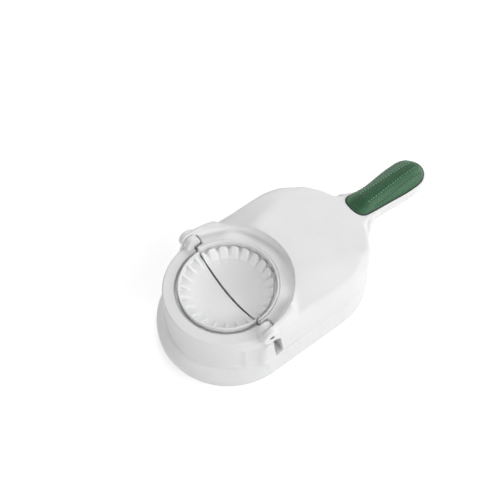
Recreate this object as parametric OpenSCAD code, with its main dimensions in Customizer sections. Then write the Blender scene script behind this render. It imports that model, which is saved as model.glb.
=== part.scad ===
// Hand dumpling maker: a base and a lever cover, hinged across the middle of a round mould.
// X runs along the hinge, Y from the mould towards the handle, and Z up from the table.

/* [Base] */
// Radius of the round front and half width of the foot, at its widest line
foot_r = 47.2; // [46.6:0.2:48.6]
// Distance between the centres of the round front and the round rear
round_span = 56; // [54:0.5:60]
// Height of the deck, where base and cover part
deck_z = 20; // [19:0.5:21]
// Height of the foot's lip in front, below the collar
lip_z = 15.6; // [14.6:0.2:16.6]
// Draft of the foot's wall between its widest line and the deck
foot_draft = 1.6; // [1.2:0.1:2]
// Radius of the rounded lower edge of the foot
foot_edge_r = 1.6; // [1:0.1:2.4]
// Width of the foot's rounded lip, in front
lip_w = 5.2; // [4.6:0.1:5.6]
// Ground clearance under the foot's rim
rim_gap = 0.8; // [0.6:0.1:1.2]
// Radius of the collar round the mould, at its top
collar_r = 39.2; // [38.8:0.1:39.4]
// How far the collar's flat top lies below the hinge axis
collar_drop = 1.2; // [1:0.1:1.6]
// Radius of the collar's rounded top edge
collar_edge_r = 1.8; // [1.6:0.1:2.2]
// How much wider the collar is at its root than at its top
collar_flare = 1; // [0.6:0.1:1.4]
// Thickness of the plate that closes the base
bottom_t = 1.8; // [1.4:0.1:2.4]
// Width of the foot's rim round that plate
rim_w = 3; // [2.4:0.1:4]

/* [Hinge] */
// Height of the hinge axis above the table
hinge_z = 44.8; // [44:0.2:46]
// Half of the slit between the base's and the cover's flat faces
slit_half = 0.4; // [0.3:0.05:0.6]
// Radius of the base's knuckles
knuckle_r = 4.8; // [4.4:0.1:5.4]
// Distance from the middle to the inner end of a knuckle
knuckle_x = 34.8; // [34.4:0.1:35.2]
// Length of a knuckle
knuckle_len = 4.8; // [4.4:0.1:5]
// Radius of the cover's ears
ear_r = 5.8; // [5.4:0.1:5.9]
// Thickness of an ear
ear_t = 4.2; // [4.1:0.05:4.4]
// Bevel of an ear's outer edge
ear_edge = 1; // [0.6:0.1:1.4]
// Side gap between a knuckle and an ear
ear_gap = 0.15; // [0.1:0.05:0.4]
// Radius of the hinge pins
pin_r = 1.6; // [1.3:0.1:1.9]
// Radial running clearance of a pin in its knuckle
pin_play = 0.06; // [0.03:0.01:0.09]
// Depth at which a pin's end lies in its ear
pin_sunk = 2.4; // [1.6:0.1:2.6]
// Clearance round the knuckles in the cover
knuckle_gap = 0.6; // [0.5:0.05:0.8]

/* [Mould] */
// Depth of the bowl below the hinge axis
bowl_depth = 11.6; // [10.6:0.2:12]
// Radius of the ball that the bowl is a part of
bowl_ball_r = 47; // [45:0.5:50]
// Radius at which the crimping teeth start
teeth_r = 22.3; // [21.6:0.1:23]
// Number of crimping teeth in one half
teeth = 12; // [10:1:14]
// Inner radius of the front half's rim
rim_in_r = 28.5; // [28.4:0.05:28.7]
// Thickness of the front half's rim
rim_t = 1.1; // [0.9:0.05:1.2]
// Height of the front half's rim above the hinge axis
rim_rise = 0.4; // [0.2:0.1:0.8]
// Outer radius of the rear half's teeth
tooth_out_r = 27.9; // [27.6:0.05:28]
// Inner radius of the rear half's ring
ring_in_r = 29.95; // [29.9:0.05:30.1]
// Thickness of the rear half's ring
ring_t = 1.15; // [0.9:0.05:1.3]
// Height of the rear half's ring above the hinge axis
ring_rise = 1.6; // [1.2:0.1:2]
// Outer radius of the trench that takes the ring when the mould is shut
trench_out_r = 31.7; // [31.5:0.05:32.5]
// Depth of both trenches below the hinge axis
trench_depth = 4.4; // [3.6:0.1:4.8]
// Thickness of a ridge between two pockets of the front half
ridge_t = 1.8; // [1.4:0.1:2.2]
// Width of a groove between two teeth of the rear half, at its outer end
groove_w = 1.7; // [1.3:0.1:2]
// Depth of such a groove at its outer end
groove_deep = 2.4; // [2:0.1:2.8]
// Height of the teeth's inner ends above the bowl
tooth_nose = 1.4; // [1:0.1:1.8]
// Distance of the teeth's tops below the hinge axis
tooth_drop = 0.3; // [0.2:0.05:0.5]
// Depth of the pockets' outer ends below the hinge axis
pocket_depth = 3.4; // [3:0.1:3.8]
// Wall of the bowl
bowl_wall = 1.8; // [1.5:0.1:2.2]
// Depth of the seat that a mould half stands on, below the hinge axis
seat_depth = 9; // [8.6:0.1:9.6]
// Inner radius of that seat
seat_in_r = 27; // [26.6:0.1:27.4]

/* [Cover] */
// Half width of the cover at its lower edge
cover_r = 45.4; // [45:0.1:45.6]
// Gap between the base's deck and the cover
parting = 0.5; // [0.4:0.05:0.8]
// Draft of the cover's wall, in millimetres of width for each millimetre of height
wall_draft = 0.05; // [0.03:0.005:0.06]
// Height of the cover's top round the mould
top_z = 51; // [50.6:0.1:51.4]
// Fall of the top face towards the handle, in millimetres for each millimetre
top_fall = 0.2; // [0.17:0.01:0.22]
// Distance from the hinge at which the top face starts to fall
top_flat_y = 40; // [38:0.5:44]
// Height of the centre of the rounded shoulder along the sides
shoulder_z = 38; // [36.5:0.5:38.5]
// Radius of that shoulder
shoulder_r = 6; // [5:0.2:6.4]
// Outer radius of the level band round the recess
band_r = 43.4; // [43:0.1:44.2]
// Distance from the hinge axis at which that band runs out
band_y = 18; // [16:0.5:21]
// Narrowing of the cover's sides between its round rear and the hinge
waist = 0.8; // [0.4:0.1:1]
// Half width of the top face where it leaves the band
crease_x = 20.5; // [18:0.5:23]
// Widening of the top face towards the handle, in millimetres for each millimetre
crease_spread = 0.3; // [0.25:0.01:0.34]
// Radius of the round recess in front
recess_r = 39.9; // [39.7:0.05:40.2]
// Radius of the cove at the recess's foot
cove_r = 2.5; // [2:0.1:3]
// Height of the recess's floor above the hinge axis
recess_rise = 1; // [0.9:0.05:1.3]
// Radius of the fillet between the body and the handle, seen from above
neck_r = 12; // [9:0.5:13]
// Depth of the neck between body and handle, below the handle's parting line
neck_drop = 5; // [3:0.5:6]
// Flare of that neck at its lower edge
neck_flare = 4.4; // [3:0.2:5]
// Width of the cover's rim round its underside plate
skirt_w = 2.8; // [2.4:0.1:3.4]
// Thickness of the underside plate
under_t = 2; // [1.6:0.1:2.6]

/* [Handle] */
// Distance from the hinge axis to the handle's end
handle_end_y = 162.5; // [158:0.5:168]
// Half width of the handle at its neck
handle_neck = 10.4; // [9.6:0.1:11]
// Half width of the handle where it is widest
handle_wide = 12.4; // [11.4:0.1:13]
// Distance from the hinge axis to the start of the widening
handle_swell_y = 116; // [112:0.5:122]
// Length of the handle's rounded end
handle_round = 14; // [12:0.5:16]
// Height of the grip's lower edge at the neck
grip_z = 34.6; // [34:0.2:35.4]
// Rise of the grip's lower edge from the neck to the handle's end
grip_rise = 3.2; // [2:0.2:4]
// Height of the white band below the grip, down to the handle's parting line
handle_band = 5.6; // [5:0.2:6.4]
// Depth of the handle's lower shell
handle_depth = 8; // [7:0.2:9]
// Distance from the hinge axis to the front end of the grip
grip_y = 99.2; // [98.4:0.2:100.4]
// Length of the grip's rounded front end
grip_tip = 7.5; // [6:0.5:9]
// Ledge between the grip's edge and the handle's side
grip_ledge = 1.2; // [0.8:0.1:1.6]
// Height of the grip's crown above its lower edge
grip_crown = 8; // [7:0.2:9]
// Thickness of the grip over the handle's core
grip_t = 3; // [2.4:0.1:3.6]

/* [Press] */
// Radius of the round recess in the deck
press_r = 39.6; // [38:0.2:40]
// Side clearance of the base's press plate in that recess
plate_gap = 0.1; // [0.05:0.05:0.3]
// Radius of the cover's press disc
disc_r = 38; // [36:0.2:38.4]
// Depth of the base's press plate's face below the deck
press_depth = 2; // [1.6:0.1:2.4]
// Thickness of the base's press plate
plate_t = 2.6; // [2.2:0.1:3]
// Distance that the cover's press disc stands out of the underside plate
disc_proud = 0.7; // [0.6:0.05:0.9]
// Thickness of the cover's press disc
disc_t = 3; // [2.6:0.1:3.4]

/* [Feet and screws] */
// Radius of a rubber foot
pad_r = 7; // [6:0.5:8]
// Depth of a foot's socket in the bottom plate
pad_sunk = 1; // [0.6:0.1:1.2]
// Radius of a screw's shank
screw_r = 1.4; // [1.2:0.05:1.6]
// Radius of a screw's head
screw_head_r = 2.6; // [2.3:0.1:2.8]
// Height of a screw's head
screw_head_h = 1.6; // [1.3:0.1:1.9]
// Side clearance of a screw's head in its well
well_gap = 0.4; // [0.3:0.05:0.6]
// Radius of the bosses under the mould halves
boss_r = 3.4; // [3:0.1:3.8]
// Radius of the small heads of the screws beside the press disc
small_head_r = 1.7; // [1.6:0.05:1.8]
// Height of those small heads
small_head_h = 1.2; // [1:0.05:1.3]
// Length of the mould screws' shanks
mould_screw_len = 8; // [6.5:0.5:8.5]
// Length of the press plate screws' shanks
press_screw_len = 3.4; // [3.2:0.1:3.6]
// Length of the bottom plate screws' shanks
bottom_screw_len = 5; // [4:0.5:7]
// Length of the underside screws' shanks
under_screw_len = 8; // [6:0.5:9]
// Length of the handle screws' shanks
handle_screw_len = 9; // [7.5:0.5:9.5]

/* [Hidden] */
$fn = 96;
eps = 0.01;
far = 400;

white = "whitesmoke";
pale = "gainsboro";
green = "darkgreen";
steel = "silver";
dark = "dimgray";

// The row's frame has its origin under the middle of the whole outline.
mid_y = (handle_end_y - foot_r) / 2;

collar_z = hinge_z - collar_drop;
recess_z = hinge_z + recess_rise;
seat_z = hinge_z - seat_depth;
rim_out_r = rim_in_r + rim_t;
ring_out_r = ring_in_r + ring_t;
bowl_z = hinge_z - bowl_depth;
under_z = bowl_z - bowl_wall;
pocket_z = under_z - 0.6;
ear_x = knuckle_x + knuckle_len + ear_gap;
flip_z = 2 * hinge_z - top_z;
pillar_z = flip_z - 0.4;
notch_z = flip_z - 0.1;
notch_x = knuckle_x - 2.4;
skirt_z = deck_z + parting;
loft_z = 29;
deck_r = foot_r - foot_draft;
plate_z = deck_z - press_depth;
press_floor_z = plate_z - plate_t;
disc_z = skirt_z - disc_proud;
bottom_z = rim_gap + bottom_t + 0.8;
arm_split = grip_z - handle_band;
// The rear end of the cover's round, and the place where the handle's own edge starts
rear_y = round_span + cover_r;
arm_y = rear_y + 2.6;

function ball_z(r, extra = 0) = bowl_z + bowl_ball_r - sqrt(pow(bowl_ball_r + extra, 2) - r * r);
function ease(t) = let (u = min(1, max(0, t))) u * u * (3 - 2 * u);
function arc(cx, cy, r, a0, a1, n = 6) =
    [for (i = [0:n]) let (a = a0 + (a1 - a0) * i / n) [cx + r * cos(a), cy + r * sin(a)]];

// Placing
module seat_frame() { translate([0, -mid_y, 0]) children(); }
module front_half() {
    intersection() {
        children();
        translate([-far / 2, -far - slit_half, -far / 2]) cube(far);
    }
}
module rear_half() {
    intersection() {
        children();
        translate([-far / 2, slit_half, -far / 2]) cube(far);
    }
}
module both_sides() {
    children();
    mirror([1, 0, 0]) children();
}
module along_x(x0, x1, r) {
    translate([x0, 0, hinge_z]) rotate([0, 90, 0]) cylinder(r = r, h = x1 - x0);
}
// A profile in radius and height, swept round the front, along the sides and round the rear.
module stadium(profile) {
    rotate_extrude() polygon(profile);
    translate([0, round_span, 0]) rotate_extrude() polygon(profile);
    translate([0, round_span, 0]) rotate([90, 0, 0])
        linear_extrude(round_span)
            polygon(concat(profile, [for (i = [len(profile) - 1:-1:0]) [-profile[i][0], profile[i][1]]]));
}

// Screws
mould_screw_x = (teeth_r - 2.5) * sqrt(0.5);
mould_screw_at = [[-mould_screw_x, mould_screw_x], [mould_screw_x, mould_screw_x]];
press_screw_r = press_r - 13.6;
press_screw_at = [for (a = [90, 210, 330])
    [press_screw_r * cos(a), round_span + press_screw_r * sin(a)]];
bottom_screw_x = foot_r - rim_w - pad_r - 1.2;
bottom_screw_at = [for (y = [12, round_span - 8]) for (side = [-1, 1]) [side * bottom_screw_x, y]];
under_screw_r = (disc_r + cover_r - skirt_w) / 2;
under_screw_at = [for (a = [32, 148, -20, 200])
    [under_screw_r * cos(a), round_span + under_screw_r * sin(a)]];
handle_screw_at = [[0, rear_y + 16.6], [0, handle_end_y - 16.5]];
mould_boss_top = 5;

// A cross-slotted screw that stands on its head, with its shank pointing up.
module screw(length, head_r = screw_head_r, head_h = screw_head_h) {
    difference() {
        union() {
            cylinder(r = head_r, h = head_h);
            cylinder(r = screw_r, h = head_h + length);
        }
        for (a = [0, 90]) rotate([0, 0, a])
            translate([-head_r * 0.62, -0.3, -eps]) cube([head_r * 1.24, 0.6, head_h * 0.55]);
    }
}
// The well and the hole that such a screw needs, from the height z0 upwards.
module screw_well(z0, z_head, length, head_r = screw_head_r, head_h = screw_head_h) {
    translate([0, 0, z0]) cylinder(r = head_r + well_gap, h = z_head + head_h - z0);
    translate([0, 0, z0]) cylinder(r = screw_r + eps, h = z_head + head_h + length + 0.3 - z0);
}
mould_head_z = under_z - 8;
press_head_z = press_floor_z - 3.2;

// Base
collar_root_r = collar_r + collar_flare;
lip_x = foot_r - lip_w;
lip_low_z = rim_gap + 4;
fillet_r = lip_x - collar_root_r;
foot_profile = concat(
    [[0, rim_gap]],
    arc(foot_r - foot_edge_r, rim_gap + foot_edge_r, foot_edge_r, -90, 0),
    [[foot_r, rim_gap + 4], [deck_r, deck_z], [0, deck_z]]);
front_profile = concat(
    [[0, rim_gap]],
    arc(foot_r - foot_edge_r, rim_gap + foot_edge_r, foot_edge_r, -90, 0),
    [for (i = [0:10]) let (a = 9 * i)
        [lip_x + lip_w * pow(cos(a), 1.5), lip_low_z + (lip_z - lip_low_z) * sin(a)]],
    arc(lip_x, lip_z + fillet_r, fillet_r, 270, 180),
    arc(collar_r - collar_edge_r, collar_z - collar_edge_r, collar_edge_r, 0, 90),
    [[0, collar_z]]);

// A pillar under each ear. An arc that touches its front corner and the collar blends them.
pillar_w = ear_x + ear_t + 0.45;
pillar_in = notch_x + knuckle_gap;
pillar_back = 1;
pillar_back_foot = 3;
pillar_round = 2.4;
pillar_blend = 9;
pillar_at = [pillar_w - pillar_round, -3];
blend_far = collar_r + 0.1 + pillar_blend;
blend_near = pillar_round + pillar_blend;
pillar_far = norm(pillar_at);
blend_angle = atan2(pillar_at[1], pillar_at[0])
    - acos((pow(blend_far, 2) + pow(pillar_far, 2) - pow(blend_near, 2)) / (2 * blend_far * pillar_far));
blend_at = blend_far * [cos(blend_angle), sin(blend_angle)];
blend_start = atan2(pillar_at[1] - blend_at[1], pillar_at[0] - blend_at[0]);
module pillar() {
    intersection() {
        translate([0, 0, lip_z - 3]) linear_extrude(pillar_z - lip_z + 3)
            polygon(concat(
                [[pillar_in, pillar_back_foot], [pillar_w, pillar_back_foot]],
                arc(pillar_at[0], pillar_at[1], pillar_round, 0, blend_start - 180),
                arc(blend_at[0], blend_at[1], pillar_blend, blend_start, blend_angle + 180),
                [[pillar_in, pillar_at[1] - pillar_blend * 0.7]]));
        translate([0, 0, 0]) rotate([90, 0, 90]) linear_extrude(60)
            polygon([[-40, lip_z - 4], [pillar_back_foot, lip_z - 4], [pillar_back, pillar_z],
                     [-3, pillar_z], [-40, pillar_z - 16]]);
    }
}

module base_shell() {
    color(white) seat_frame() difference() {
        union() {
            front_half() rotate_extrude() polygon(front_profile);
            difference() {
                stadium(foot_profile);
                // In front the foot stays below the deck, and rises to it beside the mould.
                translate([-far / 2, 0, 0]) rotate([90, 0, 90]) linear_extrude(far)
                    polygon(concat([[-far, lip_low_z + 1]],
                        [for (i = [0:20]) let (t = i / 20)
                            [-foot_r + (foot_r - 2) * t,
                             lip_low_z + 1 + (deck_z - lip_low_z - 1) * pow(ease(t), 1.6)]],
                        [[0, far], [-far, far]]));
            }
            both_sides() {
                pillar();
                along_x(knuckle_x, knuckle_x + knuckle_len, knuckle_r);
                // The web that carries the knuckle on the collar
                translate([knuckle_x, -knuckle_r, seat_z])
                    cube([knuckle_len - knuckle_gap, knuckle_r - slit_half, seat_depth]);
            }
        }
        // The trench and the pocket of the front mould half
        translate([0, 0, seat_z]) cylinder(r = trench_out_r, h = far);
        translate([0, 0, pocket_z]) cylinder(r = seat_in_r, h = far);
        for (p = mould_screw_at) translate([p[0], -p[1], 0]) {
            screw_well(rim_gap - eps, mould_head_z, mould_screw_len);
            translate([0, 0, pocket_z - mould_boss_top])
                cylinder(r = boss_r + eps, h = mould_boss_top + eps);
        }
        // The recess and the screws of the press plate
        translate([0, round_span, press_floor_z]) cylinder(r = press_r, h = far);
        for (p = press_screw_at) translate([p[0], p[1], 0])
            screw_well(rim_gap - eps, press_head_z, press_screw_len);
        // The seat of the bottom plate, and its screws' holes
        translate([0, 0, -far + bottom_z]) bottom_outline(rim_w, far);
        for (p = bottom_screw_at) translate([p[0], p[1], 0])
            cylinder(r = screw_r + eps, h = bottom_z + bottom_screw_len);
        both_sides() along_x(knuckle_x - 1, knuckle_x + knuckle_len + 1, pin_r + pin_play);
    }
}

// The foot's outline, drawn in by a distance, as a block.
module bottom_outline(inset, h) {
    r = foot_r - inset;
    cylinder(r = r, h = h);
    translate([0, round_span, 0]) cylinder(r = r, h = h);
    translate([-r, 0, 0]) cube([2 * r, round_span, h]);
}

// Each rubber foot stands near the plate's edge, at an angle to the side.
foot_place_r = foot_r - rim_w - pad_r - 2;
foot_x = foot_place_r * cos(34.6);
foot_y = foot_place_r * sin(34.6);
foot_at = [for (y = [-foot_y, round_span + foot_y]) for (side = [-1, 1]) [side * foot_x, y]];
plate_low_z = bottom_z - bottom_t;

module base_bottom_plate() {
    color(pale) seat_frame() difference() {
        translate([0, 0, plate_low_z]) bottom_outline(rim_w + 0.15, bottom_t);
        for (p = foot_at) translate([p[0], p[1], plate_low_z - eps])
            cylinder(r = pad_r + 0.05, h = pad_sunk + eps);
        for (p = bottom_screw_at) translate([p[0], p[1], 0]) {
            cylinder(r = screw_r + eps, h = far);
            cylinder(r = screw_head_r + 0.2, h = plate_low_z + 0.9);
        }
    }
}
module pad(index) {
    color(dark) seat_frame() translate([foot_at[index][0], foot_at[index][1], 0]) difference() {
        rotate_extrude() polygon([[0, 0], [pad_r - 0.8, 0], [pad_r, 0.8],
                                  [pad_r, plate_low_z + pad_sunk], [0, plate_low_z + pad_sunk]]);
        translate([0, 0, -eps]) cylinder(r = pad_r - 3.2, h = 0.6);
    }
}
module foot_front_left() { pad(0); }
module foot_front_right() { pad(1); }
module foot_rear_left() { pad(2); }
module foot_rear_right() { pad(3); }

module press_plate() {
    color(pale) seat_frame() difference() {
        translate([0, round_span, press_floor_z]) rotate_extrude()
            polygon(concat([[0, 0], [press_r - plate_gap, 0]],
                           arc(press_r - plate_gap - 1, plate_t - 0.4, 1, 0, 90),
                           arc(press_r - plate_gap - 2.4, plate_t + 0.6, 0.6, 180, 270, 3),
                           [[0, plate_t]]));
        for (p = press_screw_at) translate([p[0], p[1], press_floor_z - eps])
            cylinder(r = screw_r + eps, h = plate_t - 0.7);
    }
}

// Mould
under_arc = [for (i = [0:8]) let (r = (teeth_r - 0.3) * i / 8) [r, ball_z(r, bowl_wall)]];
bowl_arc = [for (i = [8:-1:0]) let (r = teeth_r * i / 8) [r, ball_z(r)]];
mould_foot = [[seat_in_r - 1, seat_z + 1.6], [seat_in_r + 0.5, seat_z]];
ramp_low_z = ball_z(teeth_r);
tooth_top_z = hinge_z - tooth_drop;

module mould_bosses(side) {
    for (p = mould_screw_at) translate([p[0], side * p[1], pocket_z - mould_boss_top + 0.3])
        cylinder(r = boss_r - 0.2, h = ball_z(norm(p), bowl_wall) - pocket_z + mould_boss_top + 0.3);
}
module mould_screw_holes(side) {
    for (p = mould_screw_at) translate([p[0], side * p[1], 0])
        cylinder(r = screw_r + eps, h = mould_head_z + screw_head_h + mould_screw_len + 0.2);
}
module front_mould() {
    ridge = [[teeth_r - 1.5, ball_z(teeth_r - 1.5) - 0.6], [teeth_r, ramp_low_z],
             [rim_in_r - 0.8, tooth_top_z], [rim_in_r + 0.3, tooth_top_z],
             [rim_in_r + 0.3, hinge_z - pocket_depth - 1], [teeth_r, ramp_low_z - 1]];
    color(white) seat_frame() difference() {
        union() {
            front_half() rotate_extrude() polygon(concat(
                under_arc, mould_foot,
                [[rim_out_r, seat_z], [rim_out_r, hinge_z + rim_rise - 0.25],
                 [rim_out_r - 0.25, hinge_z + rim_rise], [rim_in_r + 0.25, hinge_z + rim_rise],
                 [rim_in_r, hinge_z + rim_rise - 0.25], [rim_in_r, hinge_z - pocket_depth + 0.8],
                 [rim_in_r - 0.8, hinge_z - pocket_depth]],
                bowl_arc));
            front_half() for (i = [0:teeth - 1]) rotate([0, 0, -180 * (i + 0.5) / teeth])
                rotate([90, 0, 0]) translate([0, 0, -ridge_t / 2]) linear_extrude(ridge_t) polygon(ridge);
            front_half() mould_bosses(-1);
        }
        mould_screw_holes(-1);
    }
}
module rear_mould() {
    color(white) seat_frame() difference() {
        union() {
            rear_half() rotate_extrude() polygon(concat(
                under_arc, mould_foot,
                [[ring_out_r, seat_z], [ring_out_r, hinge_z + ring_rise - 0.3],
                 [ring_out_r - 0.3, hinge_z + ring_rise], [ring_in_r + 0.3, hinge_z + ring_rise],
                 [ring_in_r, hinge_z + ring_rise - 0.3], [ring_in_r, hinge_z - trench_depth],
                 [tooth_out_r, hinge_z - trench_depth], [tooth_out_r, tooth_top_z - 0.3],
                 [tooth_out_r - 0.3, tooth_top_z], [teeth_r + 1, ramp_low_z + tooth_nose + 0.4],
                 [teeth_r + 0.4, ramp_low_z + tooth_nose]],
                bowl_arc));
            rear_half() mould_bosses(1);
        }
        // The V grooves between the teeth, cut along the bowl's own slope
        for (i = [0:teeth - 1]) rotate([0, 0, 180 * (i + 0.5) / teeth])
            translate([tooth_out_r, 0, tooth_top_z - groove_deep]) rotate([0, -90 - groove_fall, 0])
                translate([0, 0, -groove_out]) linear_extrude(groove_out + 8.2)
                    polygon([[0, 0], [5, -groove_flare], [5, groove_flare]]);
        mould_screw_holes(1);
    }
}
// A groove's bottom falls more gently than the teeth, so it runs out at their inner ends.
groove_fall = atan2(tooth_top_z - groove_deep - ramp_low_z, tooth_out_r - teeth_r + 0.6);
groove_flare = 2.5 * groove_w / (groove_deep * cos(groove_fall));
// It starts so far out that its end, which leans inwards, clears the teeth's tops.
groove_out = groove_deep * sin(groove_fall) + 0.3;

module front_mould_screws() {
    color(steel) seat_frame() for (p = mould_screw_at)
        translate([p[0], -p[1], mould_head_z]) screw(mould_screw_len);
}
module rear_mould_screws() {
    color(steel) seat_frame() for (p = mould_screw_at)
        translate([p[0], p[1], mould_head_z]) screw(mould_screw_len);
}
module press_plate_screws() {
    color(steel) seat_frame() for (p = press_screw_at)
        translate([p[0], p[1], press_head_z]) screw(press_screw_len);
}
module bottom_plate_screws() {
    color(steel) seat_frame() for (p = bottom_screw_at)
        translate([p[0], p[1], plate_low_z + 0.9 - screw_head_h]) screw(bottom_screw_len);
}

// Cover, as a loft of sections that follow its outline from the hinge to the handle's end
neck_x = handle_neck + neck_r;
top_r = cover_r - wall_draft * (shoulder_z - skirt_z);
neck_y = round_span + sqrt(pow(top_r + neck_r, 2) - neck_x * neck_x);
neck_start_y = round_span + (neck_y - round_span) * top_r / (top_r + neck_r);
function swell(y) = handle_neck + (handle_wide - handle_neck) * ease((y - handle_swell_y) / 28);
function end_round(y, end_y, len) = y < end_y - len ? 1 : sqrt(max(0, 1 - pow((y - end_y + len) / len, 2)));
function arm_half(y) = max(0.5, swell(y) * end_round(y, handle_end_y, handle_round));
function plan_half(y) =
    y < round_span ? top_r - waist * ease((round_span - y) / 26) :
    y < neck_start_y ? sqrt(top_r * top_r - pow(y - round_span, 2)) :
    y < neck_y ? neck_x - sqrt(max(0, neck_r * neck_r - pow(y - neck_y, 2))) : arm_half(y);
function plan_stretch(y) =
    y < round_span ? 1 :
    y < neck_start_y ? min(2.2, top_r / sqrt(top_r * top_r - pow(y - round_span, 2))) :
    1 + 1.2 * ease((neck_y - y) / (neck_y - neck_start_y));
function top_at(y) = top_z - top_fall * (y < top_flat_y - 5 ? 0 :
    y > top_flat_y + 5 ? y - top_flat_y : pow(y - top_flat_y + 5, 2) / 20);
function edge_z(y) = grip_z + grip_rise * (y - arm_y) / (handle_end_y - arm_y);
// The body's falling top runs on until it meets the handle's rising edge.
function seat_at(y) = let (d = top_at(y) - edge_z(y))
    y < round_span + 4 ? top_at(y) : edge_z(y) + (d + sqrt(d * d + 0.8)) / 2;
function crease_half(y) = let (t = ease((y - band_y) / 12))
    (y < band_r ? sqrt(band_r * band_r - y * y) : 0) * (1 - t) + (crease_x + crease_spread * (y - 34)) * t;
function neck_dip(y) = ease((y - rear_y + 10.4) / 5) * (1 - ease((y - rear_y - 3.6) / 9));
function low_at(y) = (y < arm_y ? loft_z - 2 : edge_z(y) - handle_band) - neck_drop * neck_dip(y);
low_r = cover_r - wall_draft * (loft_z - skirt_z) - 0.06;
function low_half(y) = y < round_span ? low_r :
    y < rear_y - 9.4 ? sqrt(low_r * low_r - pow(y - round_span, 2)) :
    (y < neck_start_y ? max(plan_half(y), sqrt(low_r * low_r - pow(y - round_span, 2))) : plan_half(y))
    + neck_flare * ease((y - rear_y + 13.4) / 9) * (1 - ease((y - rear_y - 0.6) / 12));

function steps(y0, y1, n) = [for (i = [0:n]) y0 + (y1 - y0) * i / n];

// One half of a section, from the low edge up the wall, over the shoulder and the flank, to the middle.
arc_steps = 5;
function half_section(y) =
    let (w = plan_half(y),
         s = plan_stretch(y),
         zt = seat_at(y),
         arm = ease((y - neck_start_y) / 8),
         r = min(shoulder_r, (w - 1) / s) * (1 - arm) + 0.8 * arm,
         za = min(shoulder_z, zt - r - 0.6 * (1 - arm) - 0.05),
         xa = w - s * r,
         c = min(crease_half(y), w - 0.7),
         k = (2.6 + 2 * ease((y - band_y) / 12)) * (1 - arm) + 0.3 * arm,
         ux = (c - xa) / s,
         uz = zt - za,
         d = sqrt(ux * ux + uz * uz),
         beta = max(4, min(88, atan2(uz, ux) - acos(min(1, r / d)))),
         tx = xa + s * r * cos(beta),
         tz = za + r * sin(beta),
         inner = min(c, tx - 0.05),
         lean = min(1, k / max(0.1, sqrt(pow(tx - inner, 2) + pow(zt - tz, 2)) + 0.01)))
    concat(
        [[low_half(y), low_at(y)]],
        [for (i = [0:arc_steps]) let (a = beta * i / arc_steps) [xa + s * r * cos(a), za + r * sin(a)]],
        [for (i = [1:2]) let (t = i / 3 * (1 - lean * 0.9)) [tx + (inner - tx) * t, tz + (zt - tz) * t]],
        [for (i = [0:3]) let (t = i / 3,
            p0 = [inner + (tx - inner) * lean * 0.9, zt + (tz - zt) * lean * 0.9],
            p1 = [inner, zt],
            p2 = [max(0.2, inner - k), zt])
            p0 * pow(1 - t, 2) + p1 * 2 * t * (1 - t) + p2 * t * t],
        [[max(0.1, inner - k) / 2, zt]]);

function whole_section(half) = concat(half, [[0, half[len(half) - 1][1]]],
    [for (i = [len(half) - 1:-1:0]) [-half[i][0], half[i][1]]]);

// A closed body through sections that all have the same number of points, and mirrored halves.
// Its ends are made of level strips. The level is how many points beside the middle lie as high as it.
module loft(ys, sections, level = 0) {
    n = len(sections[0]);
    m = len(ys);
    points = [for (j = [0:m - 1]) for (p = sections[j]) [p[0], ys[j], p[1]]];
    sides = [for (j = [0:m - 2]) for (i = [0:n - 1])
        let (a = j * n + i, b = j * n + (i + 1) % n, c = a + n, d = b + n)
        each [[a, b, c], [b, d, c]]];
    mid = floor(n / 2) - level;
    cap = concat([for (i = [0:mid - 2]) [i, i + 1, n - 2 - i, n - 1 - i]],
                 [[for (i = [mid - 1:n - mid]) i]]);
    first = [for (f = cap) [for (i = [len(f) - 1:-1:0]) f[i]]];
    last = [for (f = cap) [for (i = f) (m - 1) * n + i]];
    polyhedron(points, concat(sides, first, last), convexity = 6);
}

cover_ys = concat(
    [slit_half], [for (y = [4:4:16]) y], [for (y = [18:1.25:33]) y],
    steps(36, rear_y - 25.4, 10), steps(rear_y - 22.4, rear_y - 8.4, 7),
    steps(rear_y - 6.9, rear_y + 8.1, 10), steps(rear_y + 11.6, handle_end_y - 19.5, 5),
    [for (a = [0:15:90]) handle_end_y - handle_round + handle_round * sin(a)]);

module cover_loft() { loft(cover_ys, [for (y = cover_ys) whole_section(half_section(y))], 2); }

// The lower wall of the cover: straight sides and a round rear, both with the wall's draft.
module skirt_body(inset, z0, z1) {
    r0 = cover_r - inset - wall_draft * (z0 - skirt_z);
    r1 = cover_r - inset - wall_draft * (z1 - skirt_z);
    translate([0, round_span, z0]) cylinder(r1 = r0, r2 = r1, h = z1 - z0);
    translate([0, round_span, 0]) rotate([90, 0, 0]) linear_extrude(round_span - slit_half)
        polygon([[-r0, z0], [r0, z0], [r1, z1], [-r1, z1]]);
}
// The handle's core under the grip
core_ys = concat(steps(rear_y + 6.6, handle_end_y - 19.5, 5),
    [for (a = [15:15:90]) handle_end_y - handle_round + (handle_round - 5) * sin(a)]);
function core_half(y) = max(0.4,
    (swell(y) - grip_ledge - grip_t) * end_round(y, handle_end_y - 5, handle_round - 5));
function crown_section(w, z0, z1, h) = concat([[w, z0]],
    [for (i = [0:7]) let (a = 90 * i / 8) [w * pow(cos(a), 0.8), z1 + h * pow(sin(a), 0.8)]], [[0, z1 + h]],
    [for (i = [7:-1:0]) let (a = 90 * i / 8) [-w * pow(cos(a), 0.8), z1 + h * pow(sin(a), 0.8)]],
    [[-w, z0]]);
module handle_core(extra) {
    loft(core_ys, [for (y = core_ys) crown_section(core_half(y) + extra, edge_z(y) - 1,
        edge_z(y) + extra, grip_crown - grip_t)]);
}
// The pocket in the cover's side round the base's pillar
module pillar_notch() {
    translate([notch_x, 0, 0]) rotate([90, 0, 90]) linear_extrude(40)
        polygon([[-1, deck_z - 4], [8, deck_z - 4], [6.1, notch_z - 1.8], [2.4, notch_z], [-1, notch_z]]);
}

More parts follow.
